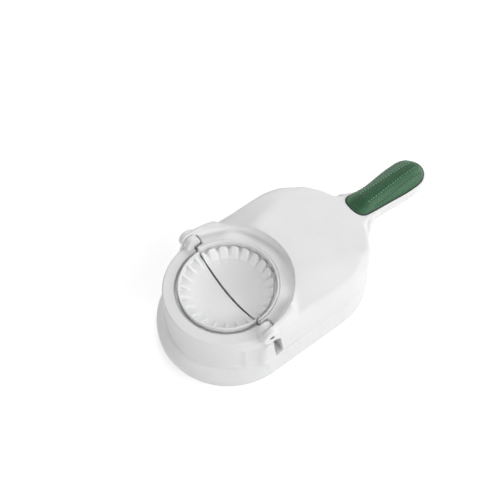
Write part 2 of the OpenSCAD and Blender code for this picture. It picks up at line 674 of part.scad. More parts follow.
module cover_shell() {
    color(white) seat_frame() difference() {
        union() {
            cover_loft();
            skirt_body(0, skirt_z, loft_z);
            handle_core(0);
            both_sides() translate([ear_x, 0, hinge_z]) rotate([0, 90, 0]) rotate_extrude()
                polygon([[0, 0], [ear_r, 0], [ear_r, ear_t - ear_edge],
                         [ear_r - ear_edge, ear_t], [0, ear_t]]);
        }
        // The recess with its cove, over the mould and the collar
        translate([0, 0, recess_z]) rotate_extrude() polygon(concat(
            [[0, 0], [recess_r - cove_r, 0]],
            arc(recess_r - cove_r, cove_r, cove_r, -90, 0), [[recess_r, 60], [0, 60]]));
        translate([0, 0, seat_z]) cylinder(r = ring_out_r + 0.1, h = far);
        translate([0, 0, pocket_z]) cylinder(r = seat_in_r, h = far);
        for (p = mould_screw_at) translate([p[0], p[1], 0]) {
            screw_well(skirt_z, mould_head_z, mould_screw_len);
            translate([0, 0, pocket_z - mould_boss_top])
                cylinder(r = boss_r + eps, h = mould_boss_top + eps);
        }
        both_sides() {
            pillar_notch();
            along_x(notch_x, ear_x, knuckle_r + knuckle_gap);
            along_x(ear_x - 1, far, pin_r + eps);
        }
        // The bed of the underside plate and of the press disc
        translate([0, 0, -far + skirt_z + under_t]) under_outline(skirt_w, far);
        translate([0, round_span, skirt_z]) cylinder(r = disc_r + 0.1, h = disc_t - disc_proud);
        for (p = under_screw_at) translate([p[0], p[1], skirt_z])
            cylinder(r = screw_r + eps, h = 1 + under_screw_len);
        for (p = handle_screw_at) translate([p[0], p[1], 0])
            cylinder(r = screw_r + eps, h = edge_z(p[1]) + 1);
    }
}

// The cover's lower outline, drawn in by a distance, as a block.
module under_outline(inset, h) {
    r = cover_r - inset;
    translate([0, round_span, 0]) cylinder(r = r, h = h);
    translate([-r, slit_half + inset, 0]) cube([2 * r, round_span - inset, h]);
}
module cover_underside() {
    color(pale) seat_frame() difference() {
        translate([0, 0, skirt_z]) under_outline(skirt_w + 0.15, under_t);
        translate([0, round_span, 0]) cylinder(r = disc_r + 0.1, h = far);
        both_sides() pillar_notch();
        for (p = under_screw_at) translate([p[0], p[1], 0]) {
            cylinder(r = screw_r + eps, h = far);
            cylinder(r = small_head_r + 0.1, h = skirt_z + 1);
        }
    }
}
module press_disc() {
    color(white) seat_frame() translate([0, round_span, disc_z]) rotate_extrude()
        polygon([[0, 0], [disc_r - 1, 0], [disc_r - 0.3, 0.3], [disc_r, 1], [disc_r, disc_t], [0, disc_t]]);
}
module cover_underside_screws() {
    color(steel) seat_frame() for (p = under_screw_at)
        translate([p[0], p[1], skirt_z + 1 - small_head_h])
            screw(under_screw_len, small_head_r, small_head_h);
}
module hinge_pin() {
    inner = knuckle_x + 0.4;
    along_x(inner, ear_x + ear_t - pin_sunk, pin_r);
}
module hinge_pin_right() { color(steel) seat_frame() hinge_pin(); }
module hinge_pin_left() { color(steel) seat_frame() mirror([1, 0, 0]) hinge_pin(); }

// The lower shell of the handle, which starts behind the cover's round
lower_ys = [for (y = cover_ys) if (y > rear_y + 0.5) y];
function bowl_section(w, z0, h) = concat([[w, z0]],
    [for (i = [1:8]) let (a = 90 * i / 8) [w * pow(cos(a), 0.7), z0 - h * pow(sin(a), 0.7)]],
    [for (i = [7:-1:0]) let (a = 90 * i / 8) [-w * pow(cos(a), 0.7), z0 - h * pow(sin(a), 0.7)]]);
function lower_depth(y) = low_at(y) - edge_z(y) + handle_band + handle_depth
    * (0.35 + 0.65 * end_round(y, handle_end_y, handle_round + 4));
module handle_lower() {
    color(white) seat_frame() difference() {
        loft([for (i = [len(lower_ys) - 1:-1:0]) lower_ys[i]],
             [for (i = [len(lower_ys) - 1:-1:0]) let (y = lower_ys[i])
                 bowl_section(low_half(y), low_at(y), lower_depth(y))]);
        for (p = handle_screw_at) translate([p[0], p[1], 0]) {
            cylinder(r = screw_r + eps, h = far);
            cylinder(r = screw_head_r + 0.2, h = handle_head_z + screw_head_h);
        }
    }
}
handle_head_z = arm_split - handle_depth + 1.6;
module handle_screws() {
    color(steel) seat_frame() for (p = handle_screw_at)
        translate([p[0], p[1], handle_head_z]) screw(handle_screw_len);
}

// The grip, shaped over the handle's top and its core
grip_end_y = handle_end_y - grip_ledge;
grip_ys = concat([for (a = [0:15:90]) grip_y + grip_tip * (1 - cos(a))],
    steps(grip_y + 11.8, handle_end_y - 16.5, 7),
    [for (a = [0:15:90]) grip_end_y - handle_round + handle_round * sin(a)]);
function grip_half(y) = max(0.3, (swell(y) - grip_ledge) * end_round(y, grip_end_y, handle_round)
    * (y < grip_y + grip_tip ? pow(max(0, 1 - pow((grip_y + grip_tip - y) / grip_tip, 2.6)), 1 / 2.6) : 1));
function grip_foot(y) = seat_at(y) - 0.3;
function grip_high(y) = let (t = ease((y - grip_y + 2) / 14), d = edge_z(y) + grip_crown - grip_foot(y))
    (1.5 * (1 - t) + d * t) * (0.3 + 0.7 * end_round(y, grip_end_y + 0.4, handle_round))
    * (y < grip_y + 1.2 ? 0.6 + 0.4 * sqrt(max(0, 1 - pow((grip_y + 1.2 - y) / 1.2, 2))) : 1);
module handle_grip() {
    color(green) seat_frame() difference() {
        loft(grip_ys, [for (y = grip_ys)
            crown_section(grip_half(y), edge_z(y) - 0.5, grip_foot(y), grip_high(y))]);
        cover_loft();
        handle_core(0.02);
    }
}

base_shell();
base_bottom_plate();
front_mould();
press_plate();
foot_front_left();
foot_front_right();
foot_rear_left();
foot_rear_right();
front_mould_screws();
press_plate_screws();
bottom_plate_screws();
cover_shell();
cover_underside();
rear_mould();
press_disc();
handle_lower();
handle_grip();
hinge_pin_left();
hinge_pin_right();
rear_mould_screws();
cover_underside_screws();
handle_screws();
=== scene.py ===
import math
import time

import bpy
import numpy as np
from mathutils import Matrix, Vector


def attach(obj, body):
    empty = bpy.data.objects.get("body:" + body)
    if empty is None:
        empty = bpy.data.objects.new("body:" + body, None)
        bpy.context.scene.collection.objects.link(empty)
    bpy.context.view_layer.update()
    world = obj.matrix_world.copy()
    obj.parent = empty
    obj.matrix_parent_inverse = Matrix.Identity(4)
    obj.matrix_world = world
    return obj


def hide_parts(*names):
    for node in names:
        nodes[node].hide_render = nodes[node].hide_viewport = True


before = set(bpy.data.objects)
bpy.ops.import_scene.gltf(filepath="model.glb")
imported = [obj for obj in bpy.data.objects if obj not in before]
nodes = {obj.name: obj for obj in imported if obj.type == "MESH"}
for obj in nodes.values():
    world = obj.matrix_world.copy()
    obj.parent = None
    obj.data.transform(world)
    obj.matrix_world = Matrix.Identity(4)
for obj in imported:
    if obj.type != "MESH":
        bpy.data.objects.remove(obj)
started = time.time()


def note(text):
    print(f"[{time.time() - started:6.1f} s] {text}", flush=True)


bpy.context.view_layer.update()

# Settings and fields are in millimetres, with the hinge axis at y = 0
layout = dict(
    midY=57.65,        # from the hinge axis to the shared frame's origin, along Y
    hingeZ=44.8,       # height of the hinge axis
    slit=0.4,          # half of the slit between both halves
    span=56.0,         # from the centre of the mould to the centre of the rear
)
crisp, soft, mellow = 0.3, 0.5, 0.7        # how far edges are rounded where fields meet


# Distance fields: negative inside, positive outside

def ease(t):
    u = np.clip(t, 0, 1)
    return u * u * (3 - 2 * u)


def ramp(v, start, run):
    return ease((v - start) / run)


def slab(v, middle, half):
    return np.abs(v - middle) - half


def softMax(a, b, k):
    h = np.clip(0.5 + 0.5 * (a - b) / k, 0, 1)
    return b + (a - b) * h + k * h * (1 - h)


def softMin(a, b, k):
    return -softMax(-a, -b, k)


def roundMax(a, b, r):
    return np.minimum(np.maximum(a, b), -r) + np.hypot(np.maximum(a + r, 0), np.maximum(b + r, 0))


def roundMin(a, b, r):
    return -roundMax(-a, -b, r)


def rod(x, u, v, x0, x1, radius, edge):
    return roundMax(np.hypot(u, v) - radius, slab(x, (x0 + x1) / 2, (x1 - x0) / 2), edge)


def arcPoints(cx, cy, r, a0, a1, n=12):
    angles = np.radians(np.linspace(a0, a1, n + 1))
    return [(cx + r * math.cos(a), cy + r * math.sin(a)) for a in angles]


# Signed distance to a closed outline, kept on a fine grid and read off it
class Outline:
    def __init__(self, points, low, high, step):
        self.low, self.step = low, step
        us = np.arange(low[0], high[0] + step, step)
        vs = np.arange(low[1], high[1] + step, step)
        u, v = np.meshgrid(us, vs, indexing="ij")
        best = np.full(u.shape, 1e9)
        inside = np.zeros(u.shape, bool)
        for (ax, ay), (bx, by) in zip(points, points[1:] + points[:1]):
            ex, ey = bx - ax, by - ay
            length = ex * ex + ey * ey
            if length < 1e-12:
                continue
            t = np.clip(((u - ax) * ex + (v - ay) * ey) / length, 0, 1)
            best = np.minimum(best, (u - ax - ex * t) ** 2 + (v - ay - ey * t) ** 2)
            if ay != by:
                crosses = (ay > v) != (by > v)
                inside ^= crosses & (u < ax + ex * (v - ay) / (by - ay))
        table = np.sqrt(best) * np.where(inside, -1, 1)
        p = np.pad(table, 1, mode="edge")        # each value is softened by its neighbours
        self.table = (p[:-2, 1:-1] + p[2:, 1:-1] + p[1:-1, :-2] + p[1:-1, 2:] + 4 * table) / 8

    def __call__(self, u, v):
        u, v = np.broadcast_arrays(u, v)
        i = np.clip((u - self.low[0]) / self.step, 0, self.table.shape[0] - 1.001)
        j = np.clip((v - self.low[1]) / self.step, 0, self.table.shape[1] - 1.001)
        i0, j0 = i.astype(np.int32), j.astype(np.int32)
        s, t = i - i0, j - j0
        a, b = self.table[i0, j0], self.table[i0 + 1, j0]
        c, d = self.table[i0, j0 + 1], self.table[i0 + 1, j0 + 1]
        return (a * (1 - s) + b * s) * (1 - t) + (c * (1 - s) + d * s) * t


# Meshes of the fields' zero surfaces, with one point in each cell that the surface passes

meshing = dict(quickCell=1.6, passes=3, probe=0.04, stride=0.6, blur=0.12)


def steepness(field, p, step):
    out = np.empty_like(p)
    for axis in range(3):
        d = np.zeros(3)
        d[axis] = step
        out[:, axis] = (field(*(p + d).T) - field(*(p - d).T)) / (2 * step)
    return out


def crossings(values, cells, corners):
    # The mean place, in cells, at which the surface cuts the edges of each cell
    value = {k: values[cells[:, 0] + k[0], cells[:, 1] + k[1], cells[:, 2] + k[2]] for k in corners}
    total, weight = np.zeros((len(cells), 3)), np.zeros(len(cells))
    for k in corners:
        for axis in range(3):
            if k[axis]:
                continue
            m = tuple(k[i] + (i == axis) for i in range(3))
            cut = (value[k] < 0) != (value[m] < 0)
            t = np.where(cut, value[k] / np.where(cut, value[k] - value[m], 1), 0)
            for i in range(3):
                total[:, i] += cut * (k[i] + (t if i == axis else 0))
            weight += cut
    return cells + total / weight[:, None]


def cellFaces(inside, index):
    # One four-sided face for each grid edge that the surface cuts
    quads = []
    for axis in range(3):
        a, b = np.moveaxis(inside, axis, 0)[:-1], np.moveaxis(inside, axis, 0)[1:]
        grid = np.moveaxis(index, axis, 0)
        at = np.argwhere((a != b)[:, 1:-1, 1:-1])
        i, j, k = at[:, 0], at[:, 1] + 1, at[:, 2] + 1
        ring = np.stack([grid[i, j - 1, k - 1], grid[i, j, k - 1], grid[i, j, k], grid[i, j - 1, k]], 1)
        turn = a[i, j, k] ^ (axis == 1)
        ring[~turn] = ring[~turn][:, ::-1]
        quads.append(ring)
    quads = np.concatenate(quads)
    return quads[(quads >= 0).all(1)]


def skin(name, field, box, cell, blur=meshing["blur"]):
    low, high = box
    axes = [np.arange(low[a] - cell, high[a] + 2 * cell, cell) for a in range(3)]
    values = field(axes[0][:, None, None], axes[1][None, :, None], axes[2][None, None, :])
    values = values.astype(np.float32)
    inside = values < 0
    corners = [(a, b, c) for a in (0, 1) for b in (0, 1) for c in (0, 1)]
    nx, ny, nz = (n - 1 for n in inside.shape)
    count = sum(inside[a:nx + a, b:ny + b, c:nz + c].astype(np.uint8) for a, b, c in corners)
    cells = np.argwhere((count > 0) & (count < 8))
    index = np.full(count.shape, -1, np.int32)
    index[tuple(cells.T)] = np.arange(len(cells))
    points = np.array([axes[a][0] for a in range(3)]) + cell * crossings(values, cells, corners)
    for _ in range(meshing["passes"]):        # each point moves onto the surface
        f = field(*points.T)
        g = steepness(field, points, meshing["probe"])
        move = -g * (f / np.maximum((g * g).sum(1), 1e-3))[:, None]
        size = np.linalg.norm(move, axis=1)
        points += move * np.minimum(1, meshing["stride"] * cell / np.maximum(size, 1e-9))[:, None]
    normals = steepness(field, points, blur)
    normals /= np.maximum(np.linalg.norm(normals, axis=1), 1e-9)[:, None]
    return meshOf(name, points, cellFaces(inside, index), normals)


def meshOf(name, points, faces, normals=None):
    mesh = bpy.data.meshes.new(name)
    place = (np.asarray(points) - [0, layout["midY"], 0]) / 1000
    mesh.vertices.add(len(place))
    mesh.vertices.foreach_set("co", place.astype(np.float32).ravel())
    faces = np.asarray(faces)
    sides = faces.shape[1]
    mesh.loops.add(faces.size)
    mesh.loops.foreach_set("vertex_index", faces.astype(np.int32).ravel())
    mesh.polygons.add(len(faces))
    mesh.polygons.foreach_set("loop_start", np.arange(0, faces.size, sides, dtype=np.int32))
    mesh.polygons.foreach_set("use_smooth", np.ones(len(faces), bool))
    mesh.update(calc_edges=True)
    mesh.validate()
    if normals is not None:
        mesh.normals_split_custom_set_from_vertices(normals.tolist())
    piece = bpy.data.objects.new(name, mesh)
    bpy.context.scene.collection.objects.link(piece)
    return piece


def fit(piece, body, slotName, *replaced):
    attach(piece, body)
    if replaced:
        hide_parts(*replaced)
    return piece


# Base housing

base = dict(
    footR=47.2, footTop=45.6, footSplit=-4.0, footEdge=0.6, join=0.4,
    lowZ=0.8, lowEdge=1.6, wideZ=4.8, deckZ=20.0,
    lipX=41.4, lipZ=15.6, lipLow=4.8, lipPower=1.35,        # the sweep from the collar into the foot
    riseFrom=-40.0, riseTo=-2.0, risePower=1.3,             # where that sweep gives way to the deck
    collarR=39.2, collarRoot=40.2, collarZ=43.6, collarEdge=1.2, draftZ=41.8, draftRun=20.0, collarFillet=2.0,
    knuckleX=34.8, knuckleLength=4.88, knuckleR=4.8, knuckleEdge=0.25,
    webAt=(36.9, -2.6, 40.3), webHalf=(2.1, 2.2, 4.5),
    pillarIn=33.0, pillarX=44.4, pillarY=-3.0, pillarZ=38.2, pillarFoot=12.0, pillarRound=5.0, blend=13.0,
    pillarStart=3.0, pillarStop=-14.0, blendGap=0.1,
    pillarSlope=16 / 37, pillarSlant=0.92,                  # fall of its top towards the front
    pillarBack=3.0, pillarLean=2 / 26.6, pillarRoot=11.6, skirtOut=1.2, skirtRun=9.0,
    filletLow=1.0, filletMore=4.0, filletFront=(2, 5), filletUp=(15, 6),
    trenchR=31.6, trenchZ=40.9, trenchEdge=0.9, rimR=29.65,
    seatZ=35.8, pocketR=27.0, pocketZ=30.8, pressR=39.6, pressZ=15.4, rim=3.0, bottomZ=3.4,
    profile=((-2, -2), (52, 50), 0.2), pillarPlan=((26, -26), (54, 10), 0.2),     # the outlines' grids
    box=((-47.2, -47.2, 0.8), (47.2, 103.2, 49.7)), cell=0.62,
)


def lipCurve():
    b = base
    out, rise = b["footR"] - b["lipX"], b["lipZ"] - b["lipLow"]
    angles = [math.radians(a) for a in range(0, 91, 5)]
    return [(b["lipX"] + out * max(0.0, math.cos(a)) ** b["lipPower"], b["lipLow"] + rise * math.sin(a))
            for a in angles]


def frontOutline():
    b = base
    fillet = b["lipX"] - b["collarRoot"]
    return Outline(
        [(-5, b["lowZ"])]
        + arcPoints(b["footR"] - b["lowEdge"], b["lowZ"] + b["lowEdge"], b["lowEdge"], -90, 0)
        + lipCurve()
        + arcPoints(b["lipX"], b["lipZ"] + fillet, fillet, 270, 180)
        + arcPoints(b["collarR"] - b["collarEdge"], b["collarZ"] - b["collarEdge"], b["collarEdge"], 0, 90)
        + [(-5, b["collarZ"])], *b["profile"])


def pillarOutline():
    # Its front is an arc that touches the pillar's corner and the collar
    b = base
    x, y = b["pillarX"] - b["pillarRound"], b["pillarY"]
    far, near = b["collarR"] + b["blendGap"] + b["blend"], b["pillarRound"] + b["blend"]
    out = math.hypot(x, y)
    turn = math.atan2(y, x) - math.acos((far * far + out * out - near * near) / (2 * far * out))
    cx, cy = far * math.cos(turn), far * math.sin(turn)
    start = math.degrees(math.atan2(y - cy, x - cx))
    return Outline(
        [(b["pillarIn"], b["pillarStart"]), (b["pillarX"], b["pillarStart"])]
        + arcPoints(x, y, b["pillarRound"], 0, start - 180)
        + arcPoints(cx, cy, b["blend"], start, math.degrees(turn) + 180)
        + [(b["pillarIn"], b["pillarStop"])], *b["pillarPlan"])


frontLine, pillarLine = frontOutline(), pillarOutline()


def pillarField(x, y, z):
    b = base
    over, behind = z - b["pillarZ"], y - b["pillarY"]
    top = np.where(behind > 0, over, (over - behind * b["pillarSlope"]) * b["pillarSlant"])
    back = y - b["pillarBack"] + b["pillarLean"] * (z - b["pillarRoot"])
    skirt = b["skirtOut"] * (1 - ramp(z, b["deckZ"], b["skirtRun"]))
    plan = softMax(pillarLine(x, y) - skirt, top, mellow)
    return softMax(plan, softMax(back, b["pillarFoot"] - z, crisp), soft)


def baseField(x, y, z):
    b, m = base, layout
    x = np.abs(x)
    around = np.hypot(x, y)
    stadium = np.hypot(x, y - np.clip(y, 0, m["span"]))
    rear = np.hypot(x, y - m["span"])
    taper = np.clip((z - b["wideZ"]) / (b["deckZ"] - b["wideZ"]), 0, 1)
    wall = b["footR"] - (b["footR"] - b["footTop"]) * taper
    foot = softMax(roundMax(stadium - wall, b["lowZ"] - z, b["lowEdge"]), z - b["deckZ"], b["footEdge"])
    drum = b["collarR"] + (b["collarRoot"] - b["collarR"]) * np.clip((b["draftZ"] - z) / b["draftRun"], 0, 1)
    collar = roundMax(around - drum, z - b["collarZ"], b["collarEdge"])
    side = softMin(foot, collar, b["collarFillet"])
    rising = ramp(y, b["riseFrom"], b["riseTo"] - b["riseFrom"]) ** b["risePower"]
    front = softMax(frontLine(around, z) * (1 - rising) + side * rising, y + m["slit"], soft)
    body = softMin(softMax(foot, b["footSplit"] - y, crisp), front, b["join"])
    body = body + b["join"] / 4        # takes the swelling off the wall that both share
    fillet = b["filletLow"] + b["filletMore"] * ramp(-y, *b["filletFront"]) * ramp(z, *b["filletUp"])
    body = softMin(body, pillarField(x, y, z), fillet)
    ends = b["knuckleX"], b["knuckleX"] + b["knuckleLength"]
    knuckle = rod(x, y, z - m["hingeZ"], *ends, b["knuckleR"], b["knuckleEdge"])
    webX, webY, webZ = (slab(v, at, half) for v, at, half in zip((x, y, z), b["webAt"], b["webHalf"]))
    web = softMax(webX, softMax(webY, webZ, crisp), crisp)
    body = softMin(body, softMin(knuckle, web, crisp), soft)
    trench = softMax(around - b["trenchR"], b["seatZ"] - z, crisp)
    floor = np.maximum(b["rimR"] - around, z - b["trenchZ"])
    body = softMax(body, -softMax(trench, -floor, b["footEdge"]), b["trenchEdge"])
    body = softMax(body, -np.maximum(around - b["pocketR"], b["pocketZ"] - z), crisp)
    body = softMax(body, -softMax(rear - b["pressR"], b["pressZ"] - z, crisp), mellow)
    return softMax(body, -softMax(stadium - b["footR"] + b["rim"], z - b["bottomZ"], crisp), soft)


note("base housing")
baseShell = fit(skin("baseHousing", baseField, base["box"], base["cell"]),
                "base", "white_plastic", "base_shell")


# Cover housing with the handle's arm

cover = dict(
    skirtR=45.4, skirtZ=20.5, skirtW=2.8, draft=0.05, waist=0.8, waistRun=26.0, loftZ=29.0,
    frontLift=0.8, liftRun=40.0,                            # its lower edge is a little higher in front
    shoulderZ=38.0, shoulderR=6.0, topZ=51.0, fall=0.2, flatY=40.0, bend=5.0,
    bandR=43.4, bandY=18.0, bandRun=12.0, creaseX=20.5, creaseY=34.0, creaseSpread=0.3,
    creaseIn=0.7, creaseRound=4.0, leans=(0.07, 1.53), crestGap=0.6, crestLeast=0.05, recede=0.8,
    flankEdge=0.25, topEdge=2.6, topEdgeMore=2.0, armTopEdge=0.6, armLowEdge=1.2,
    recessR=39.9, recessZ=45.8, cove=2.5, recessEdge=0.6, faceEdge=0.45,
    neckR=16.0, neckWide=2.0, neckHalf=10.4, neckDrop=5.0,
    dipIn=(78, 8), dipOut=(104, 11), turn=(99, 12),         # where its lower edge moves: start and run along Y
    armR=0.8, armRun=8.0, wideHalf=12.4, swellY=116.0, swellRun=28.0, endY=162.5, endRound=14.0,
    stretchMost=2.2, stretchMore=1.2, band=5.6, ledge=1.2,
    gripY=99.2, gripZ=34.6, gripRise=3.2, gripFrom=104.0, seatFrom=60.0, seatRound=0.8,
    earX=39.75, earT=4.2, earR=5.8, earEdge=1.0, pinR=1.6, pinGap=0.05, boreX=36.0,
    knuckleGapR=5.4, knuckleGapEdge=0.2, gapEdge=0.4,
    notchX=32.4, notchZ=38.5, notchAt=(8.0, 16.0), notchLean=1.9 / 20.7,
    notchCut=(6.1, 36.7), notchCutAcross=(1.8, 3.7),        # the slanting face at its top
    seatR=31.2, seatZ=35.8, underT=2.0, discR=38.1, discDeep=2.3,
    box=((-45.5, -5.8, 20.5), (45.5, 162.5, 51)), cell=0.62,
)
cover["topR"] = cover["skirtR"] - cover["draft"] * (cover["shoulderZ"] - cover["skirtZ"])
neckX, neckOut = cover["neckHalf"] + cover["neckR"], cover["topR"] + cover["neckR"]
cover["neckY"] = layout["span"] + math.sqrt(neckOut ** 2 - neckX ** 2)
cover["neckStart"] = layout["span"] + (cover["neckY"] - layout["span"]) * cover["topR"] / neckOut


def swell(y):
    c = cover
    return c["neckHalf"] + (c["wideHalf"] - c["neckHalf"]) * ramp(y, c["swellY"], c["swellRun"])


def pastEnd(y, endY):
    return np.maximum(y - endY + cover["endRound"], 0) / cover["endRound"]


def armField(x, y):
    half = swell(y)
    return (np.hypot(x / half, pastEnd(y, cover["endY"])) - 1) * np.minimum(half, cover["endRound"])


def edgeZ(y):
    c = cover
    return c["gripZ"] + c["gripRise"] * (y - c["gripFrom"]) / (c["endY"] - c["gripFrom"])


def topAt(y):
    c = cover
    past, bend = y - c["flatY"], c["bend"]
    bent = np.clip(past + bend, 0, 2 * bend) ** 2 / (4 * bend)
    return c["topZ"] - c["fall"] * np.where(past > bend, past, bent)


def seatAt(y):
    c = cover
    over = topAt(y) - edgeZ(y)
    return np.where(y < c["seatFrom"], topAt(y), edgeZ(y) + (over + np.sqrt(over * over + c["seatRound"])) / 2)


def creaseHalf(y):
    c = cover
    t = ramp(y, c["bandY"], c["bandRun"])
    band = np.sqrt(np.maximum(c["bandR"] ** 2 - y * y, 0))
    return band * (1 - t) + (c["creaseX"] + c["creaseSpread"] * (y - c["creaseY"])) * t


def lowAt(y):
    c = cover
    dip = ramp(y, *c["dipIn"]) * (1 - ramp(y, *c["dipOut"]))
    turn = ramp(y, *c["turn"])
    return (c["loftZ"] - 2) * (1 - turn) + (edgeZ(y) - c["band"]) * turn - c["neckDrop"] * dip


def waistAt(y):
    return cover["waist"] * ease((layout["span"] - y) / cover["waistRun"])


def byRegion(y, front, rear, neck, arm):
    # Picks what holds at y: along the straight sides, round the rear, in the neck or on the arm
    late = np.where(y < cover["neckY"], neck, arm)
    return np.where(y < layout["span"], front, np.where(y < cover["neckStart"], rear, late))


def planHalf(y):
    c = cover
    rear = np.sqrt(np.maximum(c["topR"] ** 2 - (y - layout["span"]) ** 2, 0))
    neck = neckX - np.sqrt(np.maximum(c["neckR"] ** 2 - (y - c["neckY"]) ** 2, 0))
    return byRegion(y, c["topR"] - waistAt(y), rear, neck, swell(y))


def planStretch(y):
    # How much wider the section is along X than across the outline
    c = cover
    halfRound = np.sqrt(np.maximum(c["topR"] ** 2 - (y - layout["span"]) ** 2, 1))
    rear = np.minimum(c["stretchMost"], c["topR"] / halfRound)
    neck = 1 + c["stretchMore"] * ease((c["neckY"] - y) / (c["neckY"] - c["neckStart"]))
    return byRegion(y, 1, rear, neck, neck)


def coverBody(x, y, z):
    # A draughted wall, and a flank that leans in from the shoulder to the crease of the top
    c, m = cover, layout
    stadium = np.hypot(x, np.maximum(y - m["span"], 0))
    wall = c["skirtR"] - c["draft"] * (z - c["skirtZ"])
    low, shoulder = lowAt(y), c["shoulderZ"]
    up = np.clip((z - low) / (shoulder - low), 0, 1)
    side = roundMin(stadium - wall + waistAt(y) * up, armField(x, y), c["neckR"] + c["neckWide"] * (1 - up))
    w, s, top = planHalf(y), planStretch(y), seatAt(y)
    onArm = ramp(y, c["neckStart"], c["armRun"])
    r = np.minimum(c["shoulderR"], (w - 1) / s) * (1 - onArm) + c["armR"] * onArm
    za = np.minimum(shoulder, top - r - c["crestGap"] * (1 - onArm) - c["crestLeast"])
    xa = w - s * r
    crease = softMin(creaseHalf(y), w - c["creaseIn"], c["creaseRound"])
    ux, uz = (crease - xa) / s, top - za
    lean = np.arctan2(uz, ux) - np.arccos(np.minimum(1, r / np.hypot(ux, uz)))
    lean = np.clip(lean, *c["leans"])
    co, si = np.cos(lean), np.sin(lean)
    flank = ((x - xa) / s * co + (z - za) * si - r) / np.sqrt((co / s) ** 2 + si ** 2)
    flank = flank - c["recede"] * np.maximum(za - z, 0)
    body = roundMax(side, flank, r * (1 - co) + c["flankEdge"])
    reach = c["topEdge"] + c["topEdgeMore"] * ramp(y, c["bandY"], c["bandRun"])
    reach = reach * (1 - onArm) + c["armTopEdge"] * onArm
    body = softMax(body, z - top, np.maximum(reach * co, soft))
    body = softMax(body, low - z, crisp + c["armLowEdge"] * onArm)
    skirt = np.maximum(stadium - wall, np.maximum(c["skirtZ"] - z, z - c["loftZ"]))
    return np.minimum(body, skirt)


def notchField(x, y, z):
    # The window behind each knuckle
    c = cover
    (backY, backZ), (cutY, cutZ), (acrossY, acrossZ) = c["notchAt"], c["notchCut"], c["notchCutAcross"]
    back = y - backY + (z - backZ) * c["notchLean"]
    cut = ((y - cutY) * acrossY + (z - cutZ) * acrossZ) / math.hypot(acrossY, acrossZ)
    return np.maximum(np.maximum(np.maximum(back, cut), z - c["notchZ"]), c["notchX"] - x)


def coverField(x, y, z):
    c, m = cover, layout
    x, axle = np.abs(x), z - m["hingeZ"]
    around = np.hypot(x, y)
    body = coverBody(x, y, z)
    body = softMax(body, c["skirtZ"] + c["frontLift"] * (1 - ease(y / c["liftRun"])) - z, crisp)
    recess = roundMax(around - c["recessR"], c["recessZ"] - z, c["cove"])
    body = softMax(body, -recess, c["recessEdge"])
    body = softMax(body, m["slit"] - y, c["faceEdge"])
    ear = rod(x, y, axle, c["earX"], c["earX"] + c["earT"], c["earR"], c["earEdge"])
    body = softMin(body, ear, soft)
    body = softMax(body, -notchField(x, y, z), mellow)
    knuckleGap = rod(x, y, axle, c["notchX"], c["earX"], c["knuckleGapR"], c["knuckleGapEdge"])
    body = softMax(body, -knuckleGap, c["gapEdge"])
    bore = np.hypot(y, axle) - c["pinR"] - c["pinGap"]
    body = softMax(body, -np.maximum(bore, c["boreX"] - x), crisp)
    body = softMax(body, -np.maximum(around - c["seatR"], c["seatZ"] - z), crisp)
    body = softMax(body, -np.maximum(around - base["pocketR"], base["pocketZ"] - z), crisp)
    plate = np.hypot(x, np.maximum(y - m["span"], 0)) - c["skirtR"] + c["skirtW"]
    plate = np.maximum(np.maximum(plate, m["slit"] + c["skirtW"] - y), z - c["skirtZ"] - c["underT"])
    body = softMax(body, -plate, soft)
    disc = np.maximum(np.hypot(x, y - m["span"]) - c["discR"], z - c["skirtZ"] - c["discDeep"])
    return softMax(body, -disc, crisp)


note("cover housing")
coverShell = fit(skin("coverHousing", coverField, cover["box"], cover["cell"]),
                 "cover", "white_plastic", "cover_shell")


# Hinge pins, with a drilled end

pin = dict(inner=35.2, sunk=0.5, holeR=1.15, holeDeep=1.5, edge=0.15, reach=(35.0, 43.6), cell=0.16)


def pinField(x, y, z):
    c, p = cover, pin
    end = c["earX"] + c["earT"] - p["sunk"]
    x, z = np.abs(x), z - layout["hingeZ"]
    body = rod(x, y, z, p["inner"], end, c["pinR"], p["edge"])
    return softMax(body, -np.maximum(np.hypot(y, z) - p["holeR"], end - p["holeDeep"] - x), 0.1)


note("hinge pins")
pins = []
for side, word in ((1, "right"), (-1, "left")):
    near, far = sorted(side * x for x in pin["reach"])
    piece = skin("hingePin" + word.capitalize(), pinField, ((near, -1.8, 43), (far, 1.8, 46.6)), pin["cell"])
    pins.append(fit(piece, "cover", "steel", "hinge_pin_" + word))


# Handle's lower shell

lower = dict(
    depth=8.0, leastDepth=0.5, power=2 / 0.7, endMore=4.0, endDepth=0.35, gap=0.3,
    box=((-16, 99, 19), (16, 162.5, 34)), cell=0.5,
)


def neckFillet(y):
    # How far the fillet between the round and the arm reaches out, at its wide lower end
    c = cover
    r = c["neckR"] + c["neckWide"]
    ends = layout["span"] + math.sqrt((c["skirtR"] + r) ** 2 - (c["neckHalf"] + r) ** 2)
    return r - np.sqrt(np.maximum(r * r - np.maximum(ends - y, 0) ** 2, 0))


def lowerField(x, y, z):
    c, o = cover, lower
    x = np.abs(x)
    endRun = c["endRound"] + o["endMore"]
    end = np.sqrt(np.maximum(1 - (np.maximum(y - c["endY"] + endRun, 0) / endRun) ** 2, 0))
    deep = o["depth"] * (o["endDepth"] + (1 - o["endDepth"]) * end)
    depth = np.maximum(lowAt(y) - edgeZ(y) + c["band"] + deep, o["leastDepth"])
    half = swell(y) + neckFillet(y)
    down = np.maximum(lowAt(y) - z, 0) / depth
    p = o["power"]
    bowl = (((x / half) ** p + down ** p) ** (2 / p) + pastEnd(y, c["endY"]) ** 2) ** 0.5 - 1
    bowl = bowl * np.minimum(half, depth)
    start = c["skirtR"] + o["gap"] - np.hypot(x, y - layout["span"])
    return softMax(softMax(bowl, z - lowAt(y), soft), start, crisp)


note("handle's lower shell")
lowerShell = fit(skin("handleLowerShell", lowerField, lower["box"], lower["cell"]),
                 "cover", "white_plastic", "handle_lower")


# Grip

